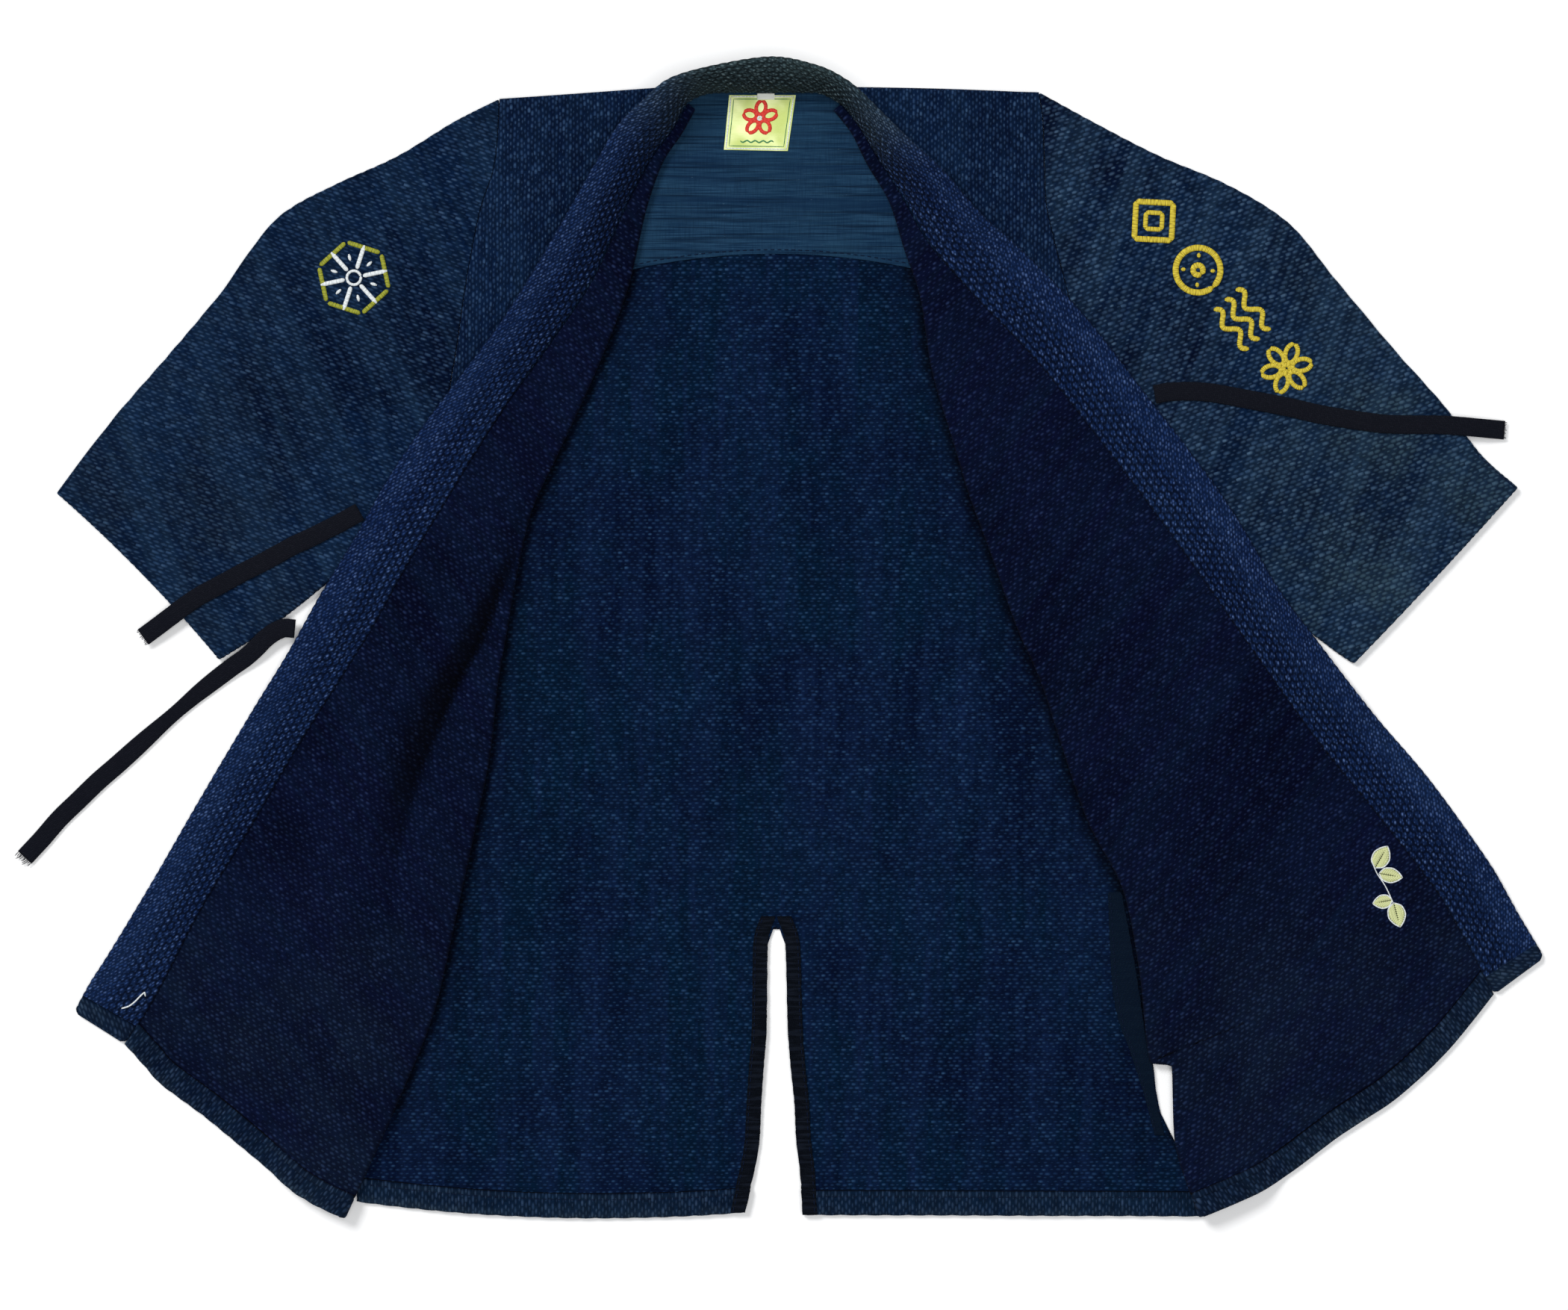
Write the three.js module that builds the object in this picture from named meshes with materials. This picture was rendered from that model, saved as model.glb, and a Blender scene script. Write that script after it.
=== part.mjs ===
// A kendo jacket of woven cotton, lying on its back with both fronts turned open.
// Millimetres. +X is the wearer's left, +Y the neck, +Z up, and the floor is z = 0.
// "Right" and "left" are the wearer's: the right front and sleeve lie at -X.
import * as THREE from "three";

// Driving dimensions
const CLOTH = 2.2; // one layer of the body cloth
const LINING = 0.8; // the plain lining across the shoulders
const TAPE = 0.9; // binding tape on the slits
const LABEL = 0.5;
const GAP = 0.3; // between pieces that touch
const SEAM_GAP = 0.3; // between pieces sewn edge to edge
const SLEEVE_HOLLOW = 0.6; // between a sleeve's two layers
const SLEEVE_TOP = 2 * CLOTH + SLEEVE_HOLLOW;
const ROLL_RADIUS = 1.4; // outer face, inside the bend where a front turns back
const HEM_DEPTH = 18; // width of the turned-up hem
const HEM_STEP = 0.8; // the stitched step at the hem's upper edge
const BAND_WIDTH = 46; // the collar band, measured across the cloth
const BAND_THICKNESS = 2 * CLOTH;
const BAND_ROOT = CLOTH + LINING + 2 * GAP; // underside of the band at the back of the neck
const BAND_RIBS = 6;
const RIB_HEIGHT = 0.7;
const NECK_ROOT_ANGLE = 92; // degrees: how steeply the band stands at the back of the neck
const NECK_EDGE_ANGLE = 18; // degrees: and how flat it has turned at its free edge
const TIE_WIDTH = 14;
const TIE_THICKNESS = 1.8;
const TIE_CORNER = 0.5; // bevel on the tie's long edges
const SPAN = 24; // stiff cloth stays at full height this far past an edge under it
const FALL = 32; // and reaches the floor over this width
const LOFT_REACH = 60; // the rounded roll settles onto the layer below over this width
const SHOULDER_BOW = 6.7; // how far the shoulder line rises between its ends
const FRONT_STEPS = { side: 4, bend: 4, open: 9 };
const RIGHT_HEM_BOW = 7;
const LEFT_HEM_BOW = 17;
const ARMHOLE_ROWS = 8; // both front tables reach the underarm at this row

// Each row runs across a front: side seam, roll line, band seam, band's free edge.
// stand is 1 where the band stands up as at the neck, and 0 where it lies flat.
const RIGHT_FRONT = [
  { side: [-226, 406], roll: [-79, 398], seam: [-85, 403], edge: [-99, 416], stand: 0.95 },
  { side: [-227, 381], roll: [-89, 380], seam: [-96, 384], edge: [-118, 400], stand: 0.88 },
  { side: [-230, 355], roll: [-103, 359], seam: [-111, 364], edge: [-135, 384], stand: 0.72 },
  { side: [-240, 324], roll: [-115, 326], seam: [-129, 331], edge: [-158, 346], stand: 0.6 },
  { side: [-251, 268], roll: [-129, 266], seam: [-157, 270], edge: [-189, 293], stand: 0.42 },
  { side: [-258, 220], roll: [-148, 215], seam: [-191, 219], edge: [-222, 241], stand: 0.25 },
  { side: [-264, 184], roll: [-166, 174], seam: [-220, 178], edge: [-254, 199], stand: 0.1 },
  { side: [-269, 145], roll: [-183, 138], seam: [-245, 139], edge: [-280, 165], stand: 0.03 },
  { side: [-274, 107], roll: [-203, 93], seam: [-270, 98], edge: [-309, 122], stand: 0 },
  { side: [-279, 55], roll: [-213, 48], seam: [-298, 52], edge: [-336, 74], stand: 0 },
  { side: [-285, 10], roll: [-220, 8], seam: [-321, 10], edge: [-361, 33], stand: 0 },
  { side: [-290, -30], roll: [-227, -32], seam: [-347, -31], edge: [-385, -10], stand: 0 },
  { side: [-296, -79], roll: [-232, -79], seam: [-375, -75], edge: [-413, -55], stand: 0 },
  { side: [-303, -141], roll: [-244, -141], seam: [-412, -138], edge: [-451, -119], stand: 0 },
  { side: [-310, -200], roll: [-258, -205], seam: [-450, -201], edge: [-488, -183], stand: 0 },
  { side: [-318, -264], roll: [-274, -275], seam: [-479, -257], edge: [-522, -239], stand: 0 },
  { side: [-333, -343], roll: [-304, -350], seam: [-491, -278], edge: [-533, -256], stand: 0 },
  { side: [-354, -421], roll: [-341, -432], seam: [-507, -302], edge: [-545, -278], stand: 0 },
];
const LEFT_FRONT = [
  { side: [178, 411], roll: [24, 397], seam: [30, 402], edge: [34, 415], stand: 1 },
  { side: [181, 388], roll: [37, 381], seam: [44, 385], edge: [60, 391], stand: 1 },
  { side: [182, 360], roll: [49, 357], seam: [58, 361], edge: [83, 369], stand: 0.9 },
  { side: [183, 331], roll: [66, 328], seam: [76, 333], edge: [106, 349], stand: 0.6 },
  { side: [189, 302], roll: [77, 293], seam: [95, 299], edge: [134, 319], stand: 0.25 },
  { side: [199, 263], roll: [89, 257], seam: [127, 261], edge: [164, 293], stand: 0.05 },
  { side: [209, 218], roll: [97, 206], seam: [175, 211], edge: [210, 246], stand: 0 },
  { side: [221, 159], roll: [114, 148], seam: [223, 151], edge: [260, 182], stand: 0 },
  { side: [232, 107], roll: [125, 111], seam: [250, 116], edge: [288, 146], stand: 0 },
  { side: [235, 66], roll: [142, 65], seam: [286, 67], edge: [325, 94], stand: 0 },
  { side: [236, 13], roll: [161, 11], seam: [324, 13], edge: [359, 37], stand: 0 },
  { side: [237, -30], roll: [179, -30], seam: [356, -32], edge: [388, -2], stand: 0 },
  { side: [238, -79], roll: [195, -79], seam: [391, -80], edge: [425, -50], stand: 0 },
  { side: [239, -134], roll: [214, -134], seam: [435, -134], edge: [471, -104], stand: 0 },
  { side: [254, -191], roll: [242, -190], seam: [480, -193], edge: [520, -173], stand: 0 },
  { side: [265, -247], roll: [253, -247], seam: [491, -212], edge: [530, -191], stand: 0 },
  { side: [274, -316], roll: [262, -316], seam: [496, -221], edge: [535, -200], stand: 0 },
  { side: [290, -319], roll: [277, -318], seam: [497, -223], edge: [536, -202], stand: 0 },
  { side: [291, -370], roll: [279, -370], seam: [503, -234], edge: [542, -212], stand: 0 },
  { side: [309, -421], roll: [297, -431], seam: [519, -265], edge: [557, -237], stand: 0 },
];
// Where the band crosses the back of the neck, from the wearer's right to left.
const NECK = [
  { seam: [-63, 411], edge: [-69, 425.5], stand: 1 },
  { seam: [-27, 411], edge: [-22, 433], stand: 1 },
  { seam: [8, 411], edge: [10, 427], stand: 1 },
];
// The back below the underarm. gapLeft and gapRight are the edges of the centre slit.
const BACK_ROWS = [
  { y: -30, left: -290, gapLeft: -25, gapRight: -13, right: 238 },
  { y: -134, left: -302, gapLeft: -25, gapRight: -13, right: 240 },
  { y: -191, left: -309, gapLeft: -23, gapRight: -15, right: 246 },
  { y: -216, left: -312, gapLeft: -21, gapRight: -16, right: 250 },
  { y: -227, left: -313, gapLeft: -25, gapRight: -12, right: 252 },
  { y: -291, left: -321, gapLeft: -26, gapRight: -10, right: 262 },
  { y: -318, left: -324, gapLeft: -28, gapRight: -8, right: 264 },
  { y: -348, left: -326, gapLeft: -30, gapRight: -5, right: 268 },
  { y: -371, left: -328, gapLeft: -31, gapRight: -4, right: 278 },
  { y: -396, left: -330, gapLeft: -35, gapRight: -1, right: 290 },
];
const SLIT_TOP_ROW = 3;
const BACK_HEM = { left: [-333, -420], gapLeft: [-42, -428], gapRight: [1, -430], right: [300, -431] };
const BACK_HEM_BOW = 8;
const UPPER_GAP = { left: -25, right: -13 };
const BACK_COLUMNS = 6; // on each side of the slit
// Each sleeve from the armhole to the cuff: its top fold and its fold under the arm.
const RIGHT_SLEEVE = [
  { top: [-226, 406], under: [-274, 107] },
  { top: [-258, 390], under: [-290, 95] },
  { top: [-303, 363], under: [-308, 82] },
  { top: [-347, 343], under: [-330, 65] },
  { top: [-390, 319], under: [-350, 48] },
  { top: [-437, 258], under: [-378, 25] },
  { top: [-476, 212], under: [-397, 11] },
  { top: [-516, 166], under: [-418, -3] },
  { top: [-558, 111], under: [-436, -14] },
];
const LEFT_SLEEVE = [
  { top: [178, 411], under: [232, 107] },
  { top: [222, 387], under: [256, 93] },
  { top: [269, 363], under: [280, 77] },
  { top: [319, 342], under: [305, 61] },
  { top: [364, 314], under: [330, 45] },
  { top: [400, 271], under: [352, 29] },
  { top: [441, 222], under: [374, 12] },
  { top: [482, 176], under: [390, 0] },
  { top: [511, 138], under: [402, -9] },
  { top: [537, 115], under: [414, -17] },
];
const RIGHT_CUFF_BOW = -3.5; // the cuff lies in a shallow hollow curve
const LEFT_CUFF_BOW = 1;
// The lining's lower edge is a shallow arch about x = middle.
const YOKE = { left: -218, right: 172, middle: -20, hem: 290, hemDrop: 0.00103, top: 412, topDrop: 0.00022 };
const LABEL_CORNERS = { topLeft: [-54, 409], topRight: [-4, 409], bottomLeft: [-58, 368], bottomRight: [-10, 367] };
const SIZE_TAB = { left: -33, right: -20, top: 410.2, bottom: 405.5 };
// The tape on the side slit of the wearer's left, on the back's edge.
const SIDE_TAPE = [
  { y: -188, inner: 230, outer: 240 },
  { y: -219, inner: 231, outer: 246 },
  { y: -257, inner: 233, outer: 252.5 },
  { y: -285, inner: 238, outer: 256.5 },
  { y: -303, inner: 245, outer: 259.5 },
  { y: -318, inner: 250, outer: 263 },
  { y: -340, inner: 257, outer: 265.5 },
  { y: -370, inner: 265, outer: 272 },
];
const SLIT_TAPE_WIDTH = 11;
const SLIT_TAPE_TOP = { y: -206, left: -19.2, right: -18.4 };
// Soft folds that lift the turned-back fronts: a ridge from one point to another.
const FOLDS = [
  { from: [-222, 70], to: [-262, -120], height: 3.2, width: 16 },
  { from: [-262, -120], to: [-288, -230], height: 1.6, width: 18 },
  { from: [282, -290], to: [305, -385], height: 2.4, width: 14 },
  { from: [-330, -120], to: [-372, -262], height: 1.8, width: 26 },
  { from: [330, -110], to: [372, -255], height: 1.8, width: 26 },
];
// Routes of the three ties, each from the band's free edge.
const TIE_RIGHT_UPPER = [
  [-330.5, 96.7, 6.6], [-338, 92.5, 6.5], [-347, 87.5, 6.4], [-356, 83, 6.3], [-368, 77, 6.3],
  [-380, 71.5, 6.3], [-392, 65, 6.3], [-404, 58.5, 6.3], [-416, 52.5, 6.3], [-428, 46, 6.3],
  [-440, 39.5, 6.3], [-451, 33.5, 6.3], [-462, 26, 6.3], [-472, 18.5, 6.3], [-482, 11, 5.8], [-493, 3, 4.4],
];
const TIE_RIGHT_LOWER = [
  [-379, 9.2, 6.6], [-386, 9.8, 6.5], [-393, 7.5, 6.4], [-401, 2, 6], [-408, -5, 4.8],
  [-416, -12, 3], [-426, -19, 2], [-438, -28, 1.6], [-452, -39, 1.6], [-466, -51, 1.6],
  [-482, -65, 1.6], [-497, -78.5, 1.6], [-512, -92, 1.6], [-527, -105, 1.6], [-542, -119.5, 1.6],
  [-556, -133, 1.6], [-569, -148, 1.6], [-582, -162, 1.6],
];
const TIE_LEFT = [
  [264.5, 184.5, 6.8], [276, 186.5, 6.6], [291, 187, 6.4], [306, 186, 6.3], [321, 183.5, 6.3],
  [337, 180.5, 6.3], [353, 177.5, 6.3], [370, 174, 6.3], [387, 170, 6.3], [404, 167, 6.3],
  [421, 164.5, 6.3], [438, 162.5, 6.3], [456, 162, 6.3], [475, 162, 6.4], [492, 161, 6.5],
  [509, 159.5, 5.6], [527, 158, 2.4],
];
const TIE_STEP = 24;

const lerp = THREE.MathUtils.lerp;
const mix = (a, b, t) => [lerp(a[0], b[0], t), lerp(a[1], b[1], t)];
const distance = (a, b) => Math.hypot(a[0] - b[0], a[1] - b[1]);
const bow = (t) => 4 * t * (1 - t);

function unit(from, to) {
  const length = distance(from, to);
  return [(to[0] - from[0]) / length, (to[1] - from[1]) / length];
}

function moved(point, direction, by) {
  return [point[0] + direction[0] * by, point[1] + direction[1] * by];
}

// A smooth line through evenly numbered values, which never passes beyond them.
function through(values, t) {
  const last = values.length - 1;
  const i = Math.min(Math.max(Math.floor(t), 0), last - 1);
  const step = (k) => values[k + 1] - values[k];
  const slope = (k) => {
    if (k === 0) return step(0);
    if (k === last) return step(last - 1);
    const product = step(k - 1) * step(k);
    return product <= 0 ? 0 : (2 * product) / (step(k - 1) + step(k));
  };
  const f = t - i;
  const rise = f * f * (3 - 2 * f);
  return (
    values[i] +
    step(i) * rise +
    slope(i) * f * (1 - f) * (1 - f) -
    slope(i + 1) * f * f * (1 - f)
  );
}

function pointAt(rows, column, t) {
  return [0, 1].map((axis) => through(rows.map((row) => row[column][axis]), t));
}

// 0 inside an outline, else the distance to it, in plan.
function distanceTo(outline, x, y) {
  let nearest = Infinity;
  let inside = false;
  for (let i = 0; i < outline.length; i++) {
    const a = outline[i];
    const b = outline[(i + 1) % outline.length];
    const across = [b[0] - a[0], b[1] - a[1]];
    const along = ((x - a[0]) * across[0] + (y - a[1]) * across[1]) / (across[0] ** 2 + across[1] ** 2);
    const t = THREE.MathUtils.clamp(along, 0, 1);
    nearest = Math.min(nearest, Math.hypot(x - a[0] - across[0] * t, y - a[1] - across[1] * t));
    const spans = a[1] > y !== b[1] > y;
    if (spans && x < a[0] + ((y - a[1]) / across[1]) * across[0]) inside = !inside;
  }
  return inside ? 0 : nearest;
}

// Share of a lower layer's height that cloth over it still has at this distance past its edge.
const draped = (past) => 1 - THREE.MathUtils.smoothstep(past, SPAN, SPAN + FALL);

// Plan outlines of what lies under the turned-back fronts
const lastRow = BACK_ROWS.length - 1;
const BODY_OUTLINE = [
  ...RIGHT_FRONT.slice(0, ARMHOLE_ROWS + 1).map((row) => row.side),
  ...BACK_ROWS.map((row) => [row.left, row.y]),
  BACK_HEM.left,
  BACK_HEM.right,
  ...BACK_ROWS.map((row) => [row.right, row.y]).reverse(),
  ...LEFT_FRONT.slice(0, ARMHOLE_ROWS + 1).map((row) => row.side).reverse(),
];
const sleeveOutline = (rows) => [
  ...rows.map((row) => row.top),
  ...rows.map((row) => row.under).reverse(),
];
const SLEEVE_OUTLINES = [sleeveOutline(RIGHT_SLEEVE), sleeveOutline(LEFT_SLEEVE)];
const yokeHem = (x) => YOKE.hem - YOKE.hemDrop * (x - YOKE.middle) ** 2;
const yokeTop = (x) => YOKE.top - YOKE.topDrop * (x - YOKE.middle) ** 2;
const YOKE_OUTLINE = [
  [YOKE.left, yokeTop(YOKE.left)],
  [YOKE.right, yokeTop(YOKE.right)],
  [YOKE.right, yokeHem(YOKE.right)],
  [YOKE.middle, YOKE.hem],
  [YOKE.left, yokeHem(YOKE.left)],
];

// Height of the underside of cloth that lies over the body and the sleeves.
function onBody(x, y) {
  const body = (onBack(x, y) + CLOTH) * draped(distanceTo(BODY_OUTLINE, x, y));
  const sleeves = SLEEVE_OUTLINES.map((outline) => SLEEVE_TOP * draped(distanceTo(outline, x, y)));
  return Math.max(body, ...sleeves);
}

// Height of the underside of a front's lower layer, on the back, its hem and the lining.
function onBack(x, y) {
  const fromHem = y - lerp(BACK_HEM.left[1], BACK_HEM.right[1], 0.5) - HEM_DEPTH;
  const onHem = 1 - THREE.MathUtils.smoothstep(fromHem, 20, 76);
  const onLining = draped(distanceTo(YOKE_OUTLINE, x, y));
  return CLOTH + GAP + CLOTH * onHem + (LINING + GAP) * onLining;
}

const clear = (height) => height + GAP * Math.min(1, height);

function foldLift(x, y) {
  let lift = 0;
  for (const fold of FOLDS) {
    const across = [fold.to[0] - fold.from[0], fold.to[1] - fold.from[1]];
    const along = ((x - fold.from[0]) * across[0] + (y - fold.from[1]) * across[1]) / (across[0] ** 2 + across[1] ** 2);
    if (along < 0 || along > 1) continue;
    const aside = Math.hypot(x - fold.from[0] - across[0] * along, y - fold.from[1] - across[1] * along);
    lift += fold.height * bow(along) * Math.exp(-((aside / fold.width) ** 2));
  }
  return lift;
}

// A closed wall between two grids of points with the same rows and columns.
// present says which cells have cloth. looped joins the last column to the first.
function wallBetween(faceA, faceB, { present = () => true, looped = false } = {}) {
  const rows = faceA.length;
  const columns = faceA[0].length;
  const positions = [...faceA.flat(), ...faceB.flat()].flat();
  const offset = rows * columns;
  const at = (i, j) => i * columns + (j % columns);
  const cellColumns = looped ? columns : columns - 1;
  const filled = (i, j) => {
    if (i < 0 || i > rows - 2) return false;
    if (!looped && (j < 0 || j > columns - 2)) return false;
    return present(i, (j + cellColumns) % cellColumns);
  };
  const triangles = [];
  const quad = (a, b, c, d) => triangles.push(a, b, c, a, c, d);
  for (let i = 0; i < rows - 1; i++) {
    for (let j = 0; j < cellColumns; j++) {
      if (!filled(i, j)) continue;
      const corners = [at(i, j), at(i, j + 1), at(i + 1, j + 1), at(i + 1, j)];
      const neighbours = [filled(i - 1, j), filled(i, j + 1), filled(i + 1, j), filled(i, j - 1)];
      quad(...corners);
      quad(...corners.map((k) => k + offset).reverse());
      corners.forEach((from, side) => {
        if (neighbours[side]) return;
        const to = corners[(side + 1) % 4];
        quad(to, from, from + offset, to + offset);
      });
    }
  }
  const geometry = new THREE.BufferGeometry();
  geometry.setAttribute("position", new THREE.Float32BufferAttribute(positions, 3));
  geometry.setIndex(signedVolume(positions, triangles) < 0 ? triangles.reverse() : triangles);
  geometry.computeVertexNormals();
  return geometry;
}

function signedVolume(positions, triangles) {
  const corner = (k) => new THREE.Vector3().fromArray(positions, 3 * k);
  let volume = 0;
  for (let i = 0; i < triangles.length; i += 3) {
    const [a, b, c] = [corner(triangles[i]), corner(triangles[i + 1]), corner(triangles[i + 2])];
    volume += a.dot(b.cross(c)) / 6;
  }
  return volume;
}

const jacket = new THREE.Group();
const finish = (color, roughness) => new THREE.MeshStandardMaterial({ color, roughness, metalness: 0 });
const materials = {
  inside: finish(0x0d1b36, 0.92),
  outside: finish(0x14243d, 0.9),
  collar: finish(0x101f3c, 0.88),
  lining: finish(0x19314b, 0.9),
  label: finish(0xb6ac63, 0.55),
  tape: finish(0x0b1018, 0.85),
  tie: finish(0x0a0d14, 0.85),
};

function add(name, geometry, material) {
  const mesh = new THREE.Mesh(geometry, material);
  mesh.name = name;
  jacket.add(mesh);
}

// The rows a front and its collar band are built on: closer together below the shoulders.
function stepsOf(rows) {
  const steps = [];
  const last = rows.length - 1;
  for (let t = 0; t < last; t += t < ARMHOLE_ROWS - 3 || t >= last - 1 ? 1 : 0.5) steps.push(t);
  return [...steps, last];
}

// The back: one panel cut up the centre of its hem, its hem turned up on the inside.
function backRows() {
  const rows = [];
  for (let t = 0; t <= ARMHOLE_ROWS; t++) {
    const left = RIGHT_FRONT[t].side;
    const right = LEFT_FRONT[t].side;
    const heightAt = (x) => {
      const u = (x - left[0]) / (right[0] - left[0]);
      return lerp(left[1], right[1], u) + (t === 0 ? SHOULDER_BOW * bow(u) : 0);
    };
    rows.push({
      left,
      gapLeft: [UPPER_GAP.left, heightAt(UPPER_GAP.left)],
      gapRight: [UPPER_GAP.right, heightAt(UPPER_GAP.right)],
      right,
      heightAt,
      thickness: CLOTH,
    });
  }
  for (const { y, left, gapLeft, gapRight, right } of BACK_ROWS) {
    rows.push({
      left: [left, y],
      gapLeft: [gapLeft, y],
      gapRight: [gapRight, y],
      right: [right, y],
      heightAt: () => y,
      thickness: CLOTH,
    });
  }
  for (const depth of [HEM_DEPTH, HEM_DEPTH - HEM_STEP, 0]) {
    const raised = ([x, y]) => [x, y + depth];
    const { left, gapLeft, gapRight, right } = BACK_HEM;
    rows.push({
      left: raised(left),
      gapLeft: raised(gapLeft),
      gapRight: raised(gapRight),
      right: raised(right),
      heightAt: (x) => {
        const onLeft = x <= gapLeft[0];
        const [a, b] = onLeft ? [left, gapLeft] : [gapRight, right];
        const u = (x - a[0]) / (b[0] - a[0]);
        return lerp(a[1], b[1], u) + depth - (onLeft ? BACK_HEM_BOW * bow(u) : 0);
      },
      thickness: depth === HEM_DEPTH ? CLOTH : 2 * CLOTH,
    });
  }
  return rows;
}

function makeBack() {
  const under = [];
  const over = [];
  for (const row of backRows()) {
    const xs = [];
    for (let j = 0; j <= BACK_COLUMNS; j++) xs.push(lerp(row.left[0], row.gapLeft[0], j / BACK_COLUMNS));
    for (let j = 0; j <= BACK_COLUMNS; j++) xs.push(lerp(row.gapRight[0], row.right[0], j / BACK_COLUMNS));
    under.push(xs.map((x) => [x, row.heightAt(x), 0]));
    over.push(xs.map((x) => [x, row.heightAt(x), row.thickness]));
  }
  const firstOpenRow = ARMHOLE_ROWS + 1 + SLIT_TOP_ROW;
  const present = (i, j) => i < firstOpenRow || j !== BACK_COLUMNS;
  add("back", wallBetween(under, over, { present }), materials.inside);
}

// A front lies outer face up from its side seam to the roll line, bends there,
// and lies inner face up from the roll line to the seam of the collar band.
function makeFront(name, rows, hemBow, shoulder) {
  const last = rows.length - 1;
  const sections = stepsOf(rows).slice(0, -1).map((t) => ({ t, depth: 0, layers: 1 }));
  sections.push({ t: last, depth: HEM_DEPTH, layers: 1 });
  sections.push({ t: last, depth: HEM_DEPTH - HEM_STEP, layers: 2 });
  sections.push({ t: last, depth: 0, layers: 2 });
  const hem = unit(rows[last].roll, rows[last].seam);
  const belowHem = [hem[1] * Math.sign(hem[0]), -Math.abs(hem[0])];
  const outerFace = [];
  const innerFace = [];
  for (const { t, depth, layers } of sections) {
    const thickness = CLOTH * layers;
    const [side, roll, seam] = ["side", "roll", "seam"].map((column) => {
      const lastStretch = distance(rows[last - 1][column], rows[last][column]);
      return pointAt(rows, column, t - depth / lastStretch);
    });
    const tangent = unit(pointAt(rows, "roll", Math.max(t - 0.1, 0)), pointAt(rows, "roll", Math.min(t + 0.1, last)));
    const facing = Math.sign(tangent[1] * (roll[0] - side[0]) - tangent[0] * (roll[1] - side[1]));
    const proud = [tangent[1] * facing, -tangent[0] * facing];
    const root = moved(roll, proud, -(ROLL_RADIUS + thickness));
    const sideEdge = moved(side, unit(side, roll), t <= ARMHOLE_ROWS ? 0 : SEAM_GAP);
    const lowLevel = onBack(...root) + thickness;
    const centre = lowLevel + ROLL_RADIUS;
    const outer = [];
    const inner = [];
    for (let j = 0; j <= FRONT_STEPS.side; j++) {
      const u = j / FRONT_STEPS.side;
      const peak = u < shoulder.at ? u / shoulder.at : (1 - u) / (1 - shoulder.at);
      const [x, y] = mix(sideEdge, root, u);
      const top = y + (t === 0 ? shoulder.lift * peak : 0);
      const z = lerp(onBack(x, top) + thickness, lowLevel, u);
      outer.push([x, top, z]);
      inner.push([x, top, z - thickness]);
    }
    for (let j = 1; j < FRONT_STEPS.bend; j++) {
      const angle = (Math.PI * j) / FRONT_STEPS.bend;
      const onArc = (radius) => {
        const [x, y] = moved(root, proud, radius * Math.sin(angle));
        return [x, y, centre - radius * Math.cos(angle)];
      };
      outer.push(onArc(ROLL_RADIUS));
      inner.push(onArc(ROLL_RADIUS + thickness));
    }
    const stand = through(rows.map((row) => row.stand), t);
    const end = moved(seam, unit(seam, root), SEAM_GAP + RIB_HEIGHT * stand);
    for (let j = 0; j <= FRONT_STEPS.open; j++) {
      const u = j / FRONT_STEPS.open;
      const along = moved(mix(root, end, u), belowHem, t === last ? hemBow * bow(u) : 0);
      const past = distance(root, along);
      const loft = (2 * ROLL_RADIUS - GAP) * (1 - THREE.MathUtils.smoothstep(past, 0, LOFT_REACH));
      const overSide = lowLevel * draped(past - distance(root, side));
      const bed = Math.max(onBody(...along), overSide);
      const z = clear(bed) + loft + foldLift(...along);
      outer.push([...along, z]);
      inner.push([...along, z + thickness]);
    }
    outerFace.push(outer);
    innerFace.push(inner);
  }
  add(name, wallBetween(outerFace, innerFace), materials.inside);
}

// A sleeve is a tube pressed flat: two layers with a fold at its top and under the arm.
function makeSleeve(name, rows, bodySide, cuffBow) {
  const armhole = [];
  for (const t of stepsOf(bodySide)) {
    if (t <= ARMHOLE_ROWS) armhole.push(pointAt(bodySide, "side", t));
  }
  const [first, final] = [armhole[0], armhole[armhole.length - 1]];
  const chord = unit(first, final);
  const share = armhole.map((p) => ((p[0] - first[0]) * chord[0] + (p[1] - first[1]) * chord[1]) / distance(first, final));
  const away = Math.sign(rows[rows.length - 1].top[0] - first[0]);
  const outerRadius = SLEEVE_TOP / 2;
  const innerRadius = SLEEVE_HOLLOW / 2;
  const outerFace = [];
  const innerFace = [];
  rows.forEach(({ top, under }, i) => {
    const s = i / (rows.length - 1);
    const across = unit(top, under);
    const outward = [-across[1] * away, across[0] * away];
    const planAt = (k) => {
      const straight = mix(top, under, share[k]);
      const atArmhole = mix(first, final, share[k]);
      const hollow = [armhole[k][0] - atArmhole[0], armhole[k][1] - atArmhole[1]];
      const curved = moved(straight, hollow, (1 - s) ** 2);
      const seam = i === 0 ? [away * SEAM_GAP, 0] : [0, 0];
      return moved(moved(curved, outward, cuffBow * s ** 4 * bow(share[k])), seam, 1);
    };
    const lastColumn = share.length - 1;
    const ends = [moved(planAt(0), across, outerRadius), moved(planAt(lastColumn), across, -outerRadius)];
    const flat = share.map((u, k) => {
      if (k === 0) return ends[0];
      return k === lastColumn ? ends[1] : planAt(k);
    });
    const loop = (radius) => {
      const low = flat.map(([x, y]) => [x, y, outerRadius - radius]);
      const high = flat.map(([x, y]) => [x, y, outerRadius + radius]).reverse();
      const bend = (centre, sign, from) =>
        [1, 2, 3].map((k) => {
          const angle = from + (sign * Math.PI * k) / 4;
          const [x, y] = moved(centre, across, sign * radius * Math.cos(angle));
          return [x, y, outerRadius + sign * radius * Math.sin(angle)];
        });
      return [...low, ...bend(ends[1], 1, -Math.PI / 2), ...high, ...bend(ends[0], -1, Math.PI / 2).reverse()];
    };
    outerFace.push(loop(outerRadius));
    innerFace.push(loop(innerRadius));
  });
  add(name, wallBetween(outerFace, innerFace, { looped: true }), materials.outside);
}

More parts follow.
